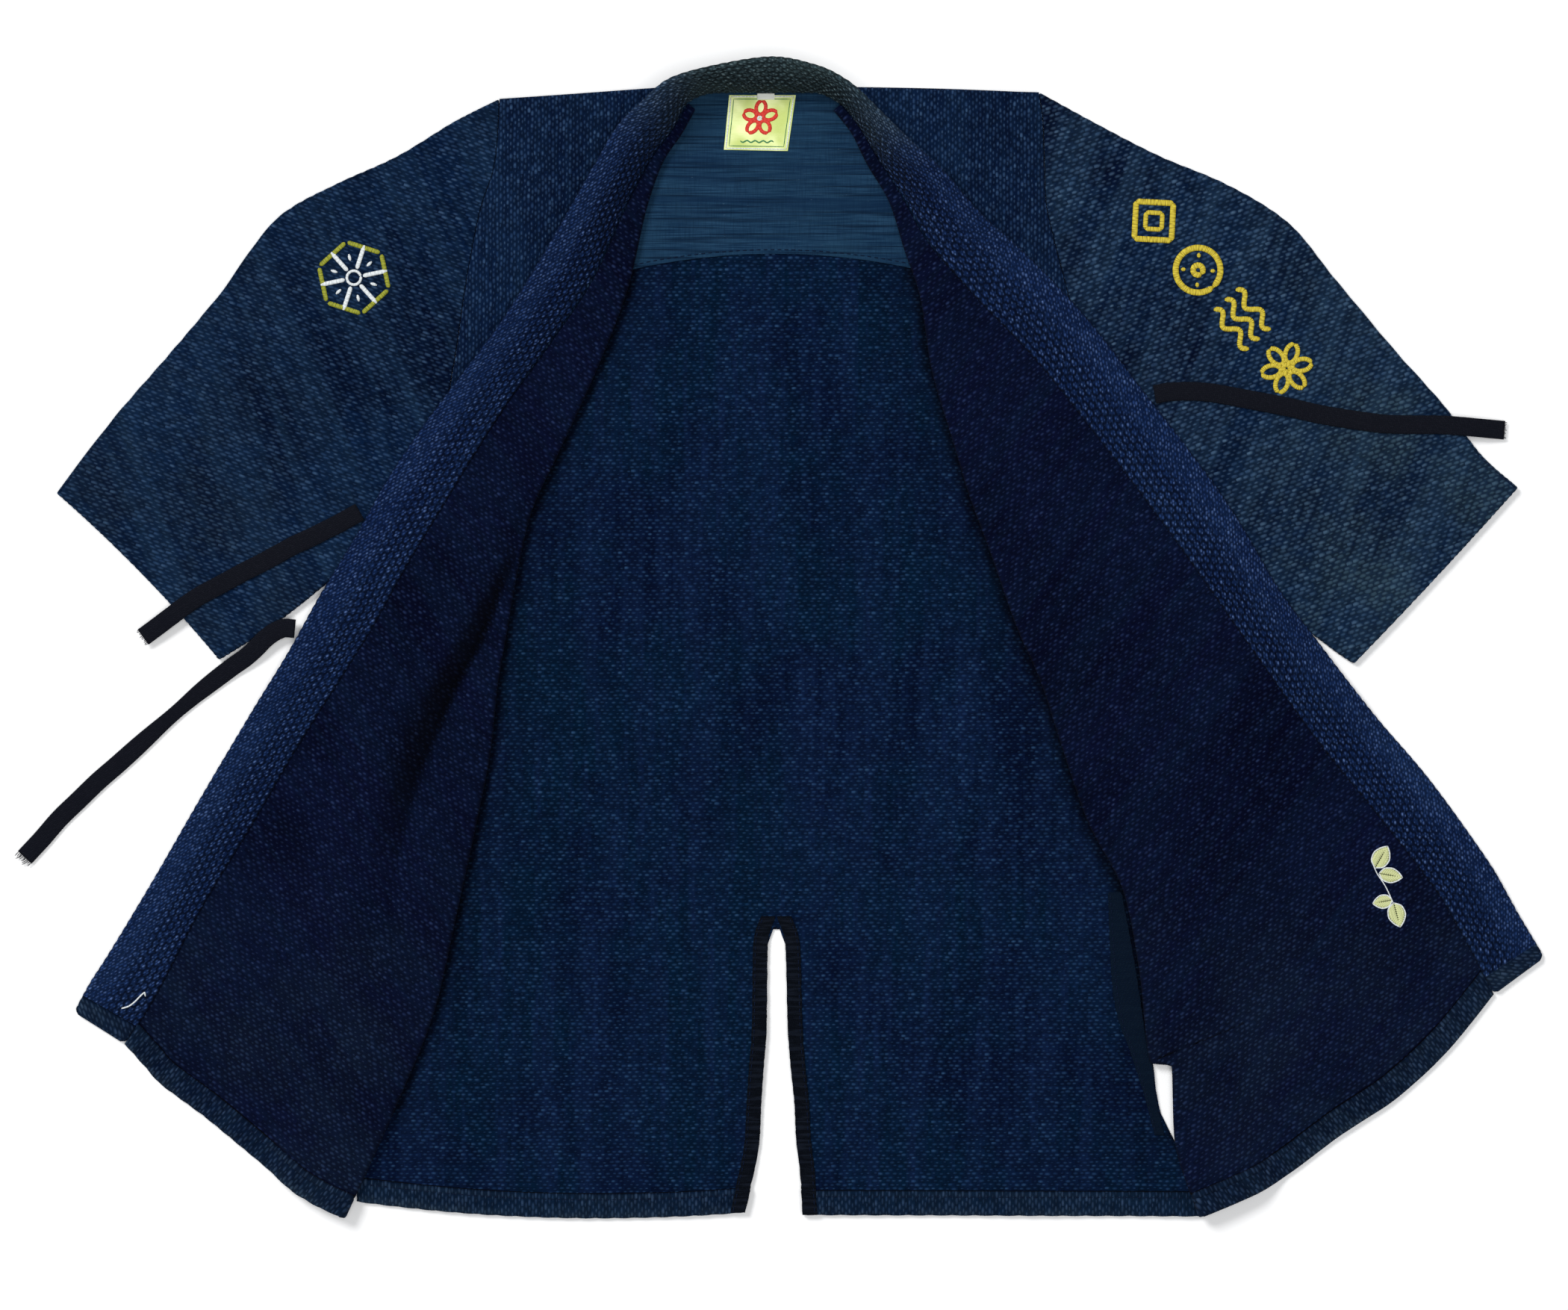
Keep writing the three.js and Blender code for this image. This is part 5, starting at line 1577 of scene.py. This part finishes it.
# %% [markdown]
# ## Sleeves
# A sleeve is a flat tube, pressed so that its two layers nearly touch. Its grid goes round the tube:
# across the top layer, round the underarm fold, back across the layer below, and round the top fold.
# `looped=True` joins the last column to the first.

# %% Sleeves
SLEEVE_ROWS_PER_STEP = 16
SLEEVE_COLUMNS = 96
FOLD_STEPS = 8


def sleeve_middle(rows, body_side, cuff_bow):
    """The mid-surface of a sleeve all round, with each row's share of the way to the cuff."""
    armhole = through(body_side[: ARMHOLE_ROWS + 1], np.linspace(0, ARMHOLE_ROWS, SLEEVE_COLUMNS))
    first, final = armhole[0], armhole[-1]
    share = (armhole - first) @ unit(final - first) / float(length_of(final - first)[0])
    away = np.sign(rows["top"][-1, 0] - first[0])
    count = len(rows["top"]) - 1
    t = np.linspace(0, count, count * SLEEVE_ROWS_PER_STEP + 1)
    s = (t / count)[:, None, None]
    top, under = through(rows["top"], t), through(rows["under"], t)
    across = unit(under - top)
    outward = np.stack([-across[:, 1], across[:, 0]], 1) * away
    hollow = armhole - lerp(first, final, share[:, None])
    plan = lerp(top[:, None], under[:, None], share[None, :, None]) + hollow[None] * (1 - s) ** 2
    plan = plan + outward[:, None] * (cuff_bow * s**4 * bow(share)[None, :, None])
    plan[..., 0] += np.where(t == 0, away * SEAM_GAP, 0)[:, None]
    outer, radius = SLEEVE_TOP / 2, (SLEEVE_TOP / 2 + SLEEVE_HOLLOW / 2) / 2
    ends = [plan[:, 0] + across * outer, plan[:, -1] - across * outer]
    inside = plan[:, 1:-1]

    def half_turn(centre, sign):
        angle = math.pi * np.arange(FOLD_STEPS + 1) / FOLD_STEPS
        grain = bumps(lengths_along(centre)) * smooth(s[:, 0, 0], 0, 0.04)
        bulge = np.sin(angle)[None] * (radius + grain[:, None]) * sign
        flat = centre[:, None] + across[:, None] * bulge[..., None]
        return at_height(flat, outer + sign * radius * np.cos(angle))

    loop = [
        at_height(inside, outer + radius), half_turn(ends[1], 1),
        at_height(inside[:, ::-1], outer - radius), half_turn(ends[0], -1),
    ]
    return np.concatenate(loop, 1), s[:, 0, 0]


sleeves = {}
for name, rows, body_side, cuff_bow, fading in (
    ("sleeve_right", RIGHT_SLEEVE, RIGHT_FRONT["side"], -3.5, 0.35),
    ("sleeve_left", LEFT_SLEEVE, LEFT_FRONT["side"], 1, 0.55),
):
    middle, along = sleeve_middle(rows, body_side, cuff_bow)
    wear_and_shade = np.broadcast_to(fading * smooth(along, 0.3, 0.8)[:, None], middle.shape[:2])
    sleeve = cloth_wall(
        name + "_cloth", grid_of(middle, CLOTH, wear_and_shade=wear_and_shade), [sleeve_outer[name], back_inner],
        looped=True, edged=(True, False), rough=(False, True, False, False),
        looks_of=lambda i, j, grid: (0, 1),
    )
    sleeves[name] = dress(sleeve, name)
    print(name, len(sleeve.data.polygons), "faces")

# %% [markdown]
# ## Embroidery on the sleeves
# Satin stitch lies thick enough to cast its own edge. The motifs are plain ones: a six-rayed star in
# a hexagon on one sleeve, and a column of a lozenge, a ring, waves and a rosette on the other. Each
# is a few strokes in a small drawing of its own, then turned and moved to its place.


# %% Motifs
# Every motif is a list of strokes: (points, width, number of its thread)


def ring_line(radius, count=36, squash=1.0):
    turn = np.linspace(0, 2 * math.pi, count)
    return np.stack([radius * np.cos(turn), radius * squash * np.sin(turn)], 1)


def on_circle(radius, degrees):
    a = math.radians(degrees)
    return (radius * math.cos(a), radius * math.sin(a))


star = []
for k in range(6):
    star.append(([on_circle(27, 60 * k - 28), on_circle(27, 60 * k + 28)], 3.6, 0))
    star.append(([on_circle(7, 60 * k), on_circle(17, 60 * k), on_circle(25.5, 60 * k)], 3.4, 1))
    star.append(([on_circle(13, 60 * k + 30), on_circle(18, 60 * k + 30)], 2.4, 1))
star.append((ring_line(5.2), 2.2, 1))
lozenge = [([on_circle(17, 90 * k), on_circle(17, 90 * k + 90)], 4.0, 0) for k in range(4)]
lozenge += [([on_circle(7.5, 90 * k), on_circle(7.5, 90 * k + 90)], 3.2, 0) for k in range(4)]
ring = [(ring_line(14.5), 4.2, 0), (ring_line(3.2, 16), 4.0, 0)]
ring += [([on_circle(8, 45 + 90 * k), on_circle(11, 45 + 90 * k)], 2.6, 0) for k in range(4)]
swell = np.stack([np.linspace(-17, 17, 30), 3.4 * np.sin(np.linspace(0, 4 * math.pi, 30))], 1)
waves = [(swell + (0, y), 3.6, 0) for y in (-9.5, 0, 9.5)]
petal = ring_line(6.2, 20, 0.62)
rosette = [(turned_and_placed(petal, 60 * k, on_circle(10, 60 * k)), 3.2, 0) for k in range(6)]
rosette += [(ring_line(2.2, 12), 3.4, 0)]
print("strokes:", [len(motif) for motif in (star, lozenge, ring, waves, rosette)])

# %% Motifs on the sleeves
COLUMN_START, COLUMN_WAY, MOTIF_PITCH, COLUMN_TILT = (264, 314.5), (0.67, -0.742), 49.5, -48
MOTIF_SIZE = 1.16


def sewn_on_sleeve(motif, angle, centre, size=1):
    """A motif's strokes as strands that stand a little proud of the sleeve."""
    strands = []
    for line, width, look in motif:
        line = turned_and_placed(np.array(line if len(line) > 3 else fair(line)) * size, angle, centre)
        line = at_height(line, SLEEVE_TOP + THREAD_RISE + 0.15 * look)
        strands.append((line, width * size, 1.5, look))
    return strands


star_strands = sewn_on_sleeve(star, 12, (-335, 272))
crest = thread_work("star_crest", [olive_thread, white_thread], star_strands)
column = []
for k, motif in enumerate((lozenge, ring, waves, rosette)):
    centre = np.array(COLUMN_START) + np.array(COLUMN_WAY) * MOTIF_PITCH * k
    column += sewn_on_sleeve(motif, COLUMN_TILT, centre, MOTIF_SIZE)
motif_column = thread_work("motif_column", [gold_thread], column)
laid_sheet(sleeves["sleeve_right"], (0.62, 0.34), 0.145, ["floor"], [crest])
laid_sheet(sleeves["sleeve_left"], (0.62, 0.34), 0.16, ["floor"], [motif_column])
print("crest", len(crest.data.polygons), "faces, column", len(motif_column.data.polygons), "faces")

# %% [markdown]
# ## Collar band
# The band is one doubled strip, sewn round the neck and down both fronts. Its grid runs along its
# length and across its width. Round the neck it stands up, so each row across is a short bent chain of
# steps whose angle eases from the seam to the free edge. Its corners at the hems are a little round.
# The grains are raised on the upper face with the same sums as in its material, and they scallop
# both long edges.

# %% Collar band: path
BAND_THICKNESS = 2 * CLOTH
BAND_ROOT = CLOTH + LINING + 2 * GAP
NECK_ROOT_ANGLE, NECK_EDGE_ANGLE = 92, 18  # how steeply the band stands at its seam and free edge
BAND_CELL = 1.5
CORNER_RADIUS = 5.0
BAND_COLUMNS = 31

band = {
    key: np.concatenate([RIGHT_FRONT[key][::-1], NECK[key], LEFT_FRONT[key]])
    for key in ("seam", "edge", "stand")
}
at_neck = np.repeat([0.0, 1.0, 0.0], [len(rows["seam"]) for rows in (RIGHT_FRONT, NECK, LEFT_FRONT)])
t = dense(splits((band["seam"] + band["edge"]) / 2, BAND_CELL))
seam, edge = through(band["seam"], t), through(band["edge"], t)
stand, neck = through(band["stand"], t)[:, None], through(at_neck, t)[:, None]
out = unit(edge - seam)


def lean(column):
    """The angle at which the band stands, at a column of its grid or between two."""
    return np.radians(stand * lerp(NECK_ROOT_ANGLE, NECK_EDGE_ANGLE, column / BAND_COLUMNS))


step_angles = lean(np.arange(BAND_COLUMNS) + 0.5)
zero = np.zeros((len(t), 1))
width_step = BAND_WIDTH / BAND_COLUMNS
across = np.concatenate([zero, np.cumsum(np.cos(step_angles) * width_step, 1)], 1)
up = np.concatenate([zero, np.cumsum(np.sin(step_angles) * width_step, 1)], 1)
fit = length_of(edge - seam) / across[:, -1:]
angle = lean(np.arange(BAND_COLUMNS + 1))
base = lerp(clear(on_body(seam[:, 0], seam[:, 1]))[:, None], BAND_ROOT, neck)
travelled = lengths_along(lerp(seam, edge, 0.5))
from_end = np.minimum(travelled, travelled[-1] - travelled)[:, None]
into_corner = np.clip(CORNER_RADIUS - from_end, 0, CORNER_RADIUS)
rounding = CORNER_RADIUS - np.sqrt(CORNER_RADIUS**2 - into_corner**2)
inset = np.minimum(rounding, CORNER_RADIUS * 0.8)
plan = seam[:, None] + out[:, None] * (inset + across * fit * (1 - 2 * inset / BAND_WIDTH))[..., None]
bed = np.where(stand > 0.5, base, clear(on_body(plan[..., 0], plan[..., 1])))
z = lerp(bed, base, stand) + up
plan = plan + out[:, None] * (np.sin(angle) * BAND_THICKNESS / 2)[..., None]
middle = at_height(plan, z + np.cos(angle) * BAND_THICKNESS / 2)
print("band", round(float(travelled[-1])), "mm long")

# %% Collar band: grains and ends
BAND_HEM = 15  # depth of the band's own turned-up ends
RELIEF = 1.5  # height of a grain
NECK_MIDDLE = -22
NECK_WEAR = (28, 103)  # how far sideways from the middle of the neck its grey starts to fade, and ends
NO_SCALLOP = 3  # from each end of the band, where the corners are round
widths = np.linspace(0, BAND_WIDTH, BAND_COLUMNS + 1)
place = np.stack(np.broadcast_arrays(travelled[:, None], widths[None]), 2)
row = place[..., 1] / BAND_GRAIN["row"]
step = place[..., 0] / BAND_GRAIN["length"] + 0.5 * np.floor(row)
from_grain = np.hypot(step % 1 - 0.5, row % 1 - 0.5)
grain = 1 - smooth(from_grain / (BAND_GRAIN["plump"] * GRAIN_REACH), GRAIN_TOP, 1.0)
near_neck = (1 - smooth(np.abs(seam[:, :1] - NECK_MIDDLE), *NECK_WEAR)) * np.ones(BAND_COLUMNS + 1)[None]
bold = lerp(1, 0.4, smooth(place[..., 1], *FLATTER) * (1 - near_neck))
in_band_hem = 1 - smooth(from_end, BAND_HEM - 1, BAND_HEM + 0.5)
groove = hump(from_end - BAND_HEM, 1.3)
relief = (RELIEF * grain - 0.3) * bold * (1 - 0.75 * in_band_hem) - 0.9 * groove
scallop = bumps(travelled, BAND_GRAIN["length"], 0.5)[:, None] * (from_end > NO_SCALLOP)
middle[:, 0] -= unit(middle[:, 1] - middle[:, 0]) * scallop * (1 - smooth(stand, 0, 0.3))
middle[:, -1] += unit(middle[:, -1] - middle[:, -2]) * scallop
# the band's hem groove is also darkened with painted shade, beside its real dip in the relief
wear_and_shade = np.maximum(near_neck, 0.6 * in_band_hem) - groove


def band_looks(i, j, grid):
    """The turned-up ends of the band show the hem's cloth."""
    along = np.minimum(grid[i, j, 6], travelled[-1] - grid[i, j, 6])
    return (along < BAND_HEM).astype(int), 0


collar = cloth_wall(
    "collar_band", grid_of(middle, BAND_THICKNESS, relief=relief, wear_and_shade=wear_and_shade, place=place),
    [collar_cloth, hem_turned["front_right"]], looks_of=band_looks,
)
dress(collar, "collar")
band_top = middle.copy()
band_top[..., 2] += relief + BAND_THICKNESS / 2
print("collar", len(collar.data.polygons), "faces")

# %% [markdown]
# ## A loose thread
# One end of white thread has worked out of the seam near the band's end. It is a strand like the
# others, laid over the band with a small hook at its tip.

# %% Loose thread
THREAD_ROUTE = [
    (-509, -275), (-504, -273.5), (-499.5, -270.5), (-496, -267), (-493, -264), (-491.5, -263), (-491, -266),
]
thread_flat = fair(THREAD_ROUTE, 0.8)
thread_line = laid_on(band_top[:80], thread_flat)
thread_line[:, 2] += 1.6 + 1.2 * bow(np.linspace(0, 1, len(thread_line)))
loose_thread = thread_work("loose_thread", [white_thread], [(thread_line, 1.2, 1.0, 0)])
under_band = ["back_cloth", "front_right_cloth", "front_left_cloth"]
laid_sheet(collar, (0.046, 1.79), 0.0823, under_band, [loose_thread])
print("loose thread", round(float(lengths_along(thread_line)[-1])), "mm long")

# %% [markdown]
# ## Label and size tab
# A gold-green satin label is sewn to the lining below the neck, with a small tab above it. Its art is
# a plain five-petalled blossom in red with green lines, all laid in thread on the satin.


# %% Label and size tab
def patch(name, corners, base, thickness, looks, cells=(12, 12)):
    """A small flat piece of cloth between four corners."""
    top_left, top_right, bottom_left, bottom_right = (np.array(c, float) for c in corners)
    v, u = np.meshgrid(np.linspace(0, 1, cells[1] + 1), np.linspace(0, 1, cells[0] + 1), indexing="ij")
    u, v = u[..., None], v[..., None]
    flat = lerp(lerp(top_left, top_right, u), lerp(bottom_left, bottom_right, u), v)
    return cloth_wall(name, grid_of(at_height(flat, base + thickness / 2), thickness), looks)


LABEL = 0.5  # thickness
LABEL_CORNERS = [(-54, 409), (-4, 409), (-58, 368), (-10, 367)]
TAB_CORNERS = [(-33, 410.2), (-20, 410.2), (-33, 405.5), (-20, 405.5)]
label_base = CLOTH + LINING + 2 * GAP
label = patch("label_patch", LABEL_CORNERS, label_base, LABEL, [label_satin])
tab_satin = satin("size_tab_satin", rgb(196, 198, 184), rgb(232, 234, 224))
size_tab = patch("size_tab_patch", TAB_CORNERS, label_base + LABEL + GAP, LABEL, [tab_satin], (8, 4))
dress(label, "label")
dress(size_tab, "size_tab")


def on_label(u, v):
    """A place on the label, in shares of its width and height from the upper left."""
    a, b, c, d = (np.array(corner, float) for corner in LABEL_CORNERS)
    u, v = np.atleast_1d(u)[:, None], np.atleast_1d(v)[:, None]
    return at_height(lerp(lerp(a, b, u), lerp(c, d, u), v), label_base + LABEL + 0.1)


label_lines = []
for near, width, look in ((0.03, 1.0, 2), (0.075, 0.6, 1)):
    far = 1 - near
    loop = np.array([(near, near), (far, near), (far, far), (near, far), (near, near)])
    for a, b in zip(loop[:-1], loop[1:]):
        run = lerp(a, b, np.linspace(0, 1, 14)[:, None])
        label_lines.append((on_label(run[:, 0], run[:, 1]), width, 0.5, look))
for k in range(5):
    petal = turned_and_placed(ring_line(0.12, 16, 0.72), 72 * k + 90, on_circle(0.19, 72 * k + 90))
    label_lines.append((on_label(0.5 + petal[:, 0] * 0.84, 0.42 - petal[:, 1]), 3.0, 0.7, 0))
label_lines.append((on_label(*(ring_line(0.03, 10).T + [[0.5], [0.42]])), 1.6, 0.8, 2))
line = np.linspace(0.24, 0.76, 24)
label_lines.append((on_label(line, 0.84 + 0.018 * np.sin(line * 50)), 1.1, 0.5, 1))
label_art = thread_work("label_blossom", [red_thread, green_thread, white_thread], label_lines)
laid_sheet(label, (0.05, 0.042), 0.002, ["yoke_lining_cloth"], [label_art])
laid_sheet(size_tab, (0.013, 0.01), 0.00007, ["label_patch"])

# %% [markdown]
# ## Binding tapes
# Narrow black tape covers the raw edges of the slits. Each is a strip between two lines, laid on the
# back and over its hem, with a row of small stitches down its inner edge.

# %% Binding tapes
TAPE = 0.9  # thickness
SLIT_TAPE_WIDTH = 11
on_cloth = CLOTH + GAP


def tape(name, inner, outer, heights, look):
    """A binding tape between two edge lines, with its height above the floor at each row."""
    rows = dense(splits(outer, 3))
    a, b, z = through(inner, rows), through(outer, rows), np.interp(rows, np.arange(len(heights)), heights)
    flat = lerp(a[:, None], b[:, None], np.linspace(0, 1, 5)[None, :, None])
    middle = at_height(flat, (z + TAPE / 2)[:, None])
    across = np.linspace(0, SLIT_TAPE_WIDTH, 5)
    place = np.stack(np.broadcast_arrays(across[None], lengths_along(b)[:, None]), 2)
    binding = cloth_wall(name, grid_of(middle, TAPE, place=place), [look], rough=(False, False, True, True))
    seam_line = at_height(lerp(a, b, 0.16), z + TAPE + 0.15)
    stitches = thread_work(name + "_stitches", [seam_thread], stitch_lines(seam_line))
    return binding, stitches


slit = slice(SLIT_TOP_ROW + 1, None)
for name, column, top_x, sign in (
    ("centre_slit_tape_right", "gap_left", -19.2, -1),
    ("centre_slit_tape_left", "gap_right", -18.4, 1),
):
    hem = BACK_HEM[column]
    hem_top = hem[1] + HEM_DEPTH
    share = (BACK_BELOW["y"][-1] - hem_top) / (BACK_BELOW["y"][-1] - hem[1])
    hem_x = lerp(BACK_BELOW[column][-1], hem[0], share)
    outer = np.array(
        [(top_x, -206), *zip(BACK_BELOW[column][slit], BACK_BELOW["y"][slit]),
         (hem_x, hem_top + TAPE + GAP), (hem_x, hem_top - GAP), (hem[0], hem[1] + GAP)]
    )
    heights = np.full(len(outer), on_cloth)
    heights[-2:] += CLOTH
    inner = outer + (sign * SLIT_TAPE_WIDTH, 0)
    slit_tape, stitches = tape(name + "_binding", inner, outer, heights, tape_cloth)
    dress(slit_tape, name)
    laid_sheet(slit_tape, (0.011, 0.226), 0.00248, ["back_cloth"], [stitches])
SIDE_TAPE = np.array(
    [(230, 240, -188), (231, 246, -219), (233, 252.5, -257), (238, 256.5, -285), (245, 259.5, -303),
     (250, 263, -318), (257, 265.5, -340), (265, 272, -370)], float
)
side_binding, stitches = tape(
    "side_slit_tape_left_binding", SIDE_TAPE[:, [0, 2]], SIDE_TAPE[:, [1, 2]],
    np.full(len(SIDE_TAPE), on_cloth), side_tape_cloth,
)
dress(side_binding, "side_slit_tape_left")
laid_sheet(side_binding, (0.02, 0.19), 0.0027, ["back_cloth"], [stitches])

# %% [markdown]
# ## Floor
# The jacket lies on a plain white floor. It only carries the shadows, so it is staged and isn't part
# of the object.

# %% Floor
REACH = 12
FLOOR_LEVEL = -0.0002
floor_mesh = bpy.data.meshes.new("floor")
corners = [(x * REACH, y * REACH, FLOOR_LEVEL) for x, y in ((-1, -1), (1, -1), (1, 1), (-1, 1))]
floor_mesh.from_pydata(corners, [], [(0, 1, 2, 3)])
floor_white = bpy.data.materials.new("floor_white")
floor_white.use_nodes = True
floor_shader = floor_white.node_tree.nodes["Principled BSDF"]
floor_shader.inputs["Base Color"].default_value = (0.97, 0.97, 0.97, 1)
floor_shader.inputs["Roughness"].default_value = 0.9
floor_mesh.materials.append(floor_white)
floor = bpy.data.objects.new("floor", floor_mesh)
bpy.context.scene.collection.objects.link(floor)
print("floor", 2 * REACH, "m wide")

# %% [markdown]
# ## Light
# The picture was lit softly from the upper left. A large far lamp gives that direction, so the floor
# stays evenly white and every fold turns darker on its lower right. An overhead one and a pale world
# fill the shadows.


# %% Light
def softbox(name, place, size, power):
    """A round lamp that faces the middle of the jacket."""
    data = bpy.data.lights.new(name, "AREA")
    data.shape, data.size, data.energy = "DISK", size, power
    lamp = bpy.data.objects.new(name, data)
    lamp.location = place
    lamp.rotation_euler = (-Vector(place)).to_track_quat("-Z", "Y").to_euler()
    bpy.context.scene.collection.objects.link(lamp)


softbox("key", (-4.4, 4.4, 6.8), 3.4, 520)
softbox("overhead_fill", (0.8, -0.8, 8.4), 5.6, 335)
world = bpy.data.worlds.new("studio")
world.use_nodes = True
world.node_tree.nodes["Background"].inputs["Color"].default_value = (0.95, 0.97, 1, 1)
world.node_tree.nodes["Background"].inputs["Strength"].default_value = 0.3
bpy.context.scene.world = world
bpy.context.scene.view_settings.view_transform = "Standard"
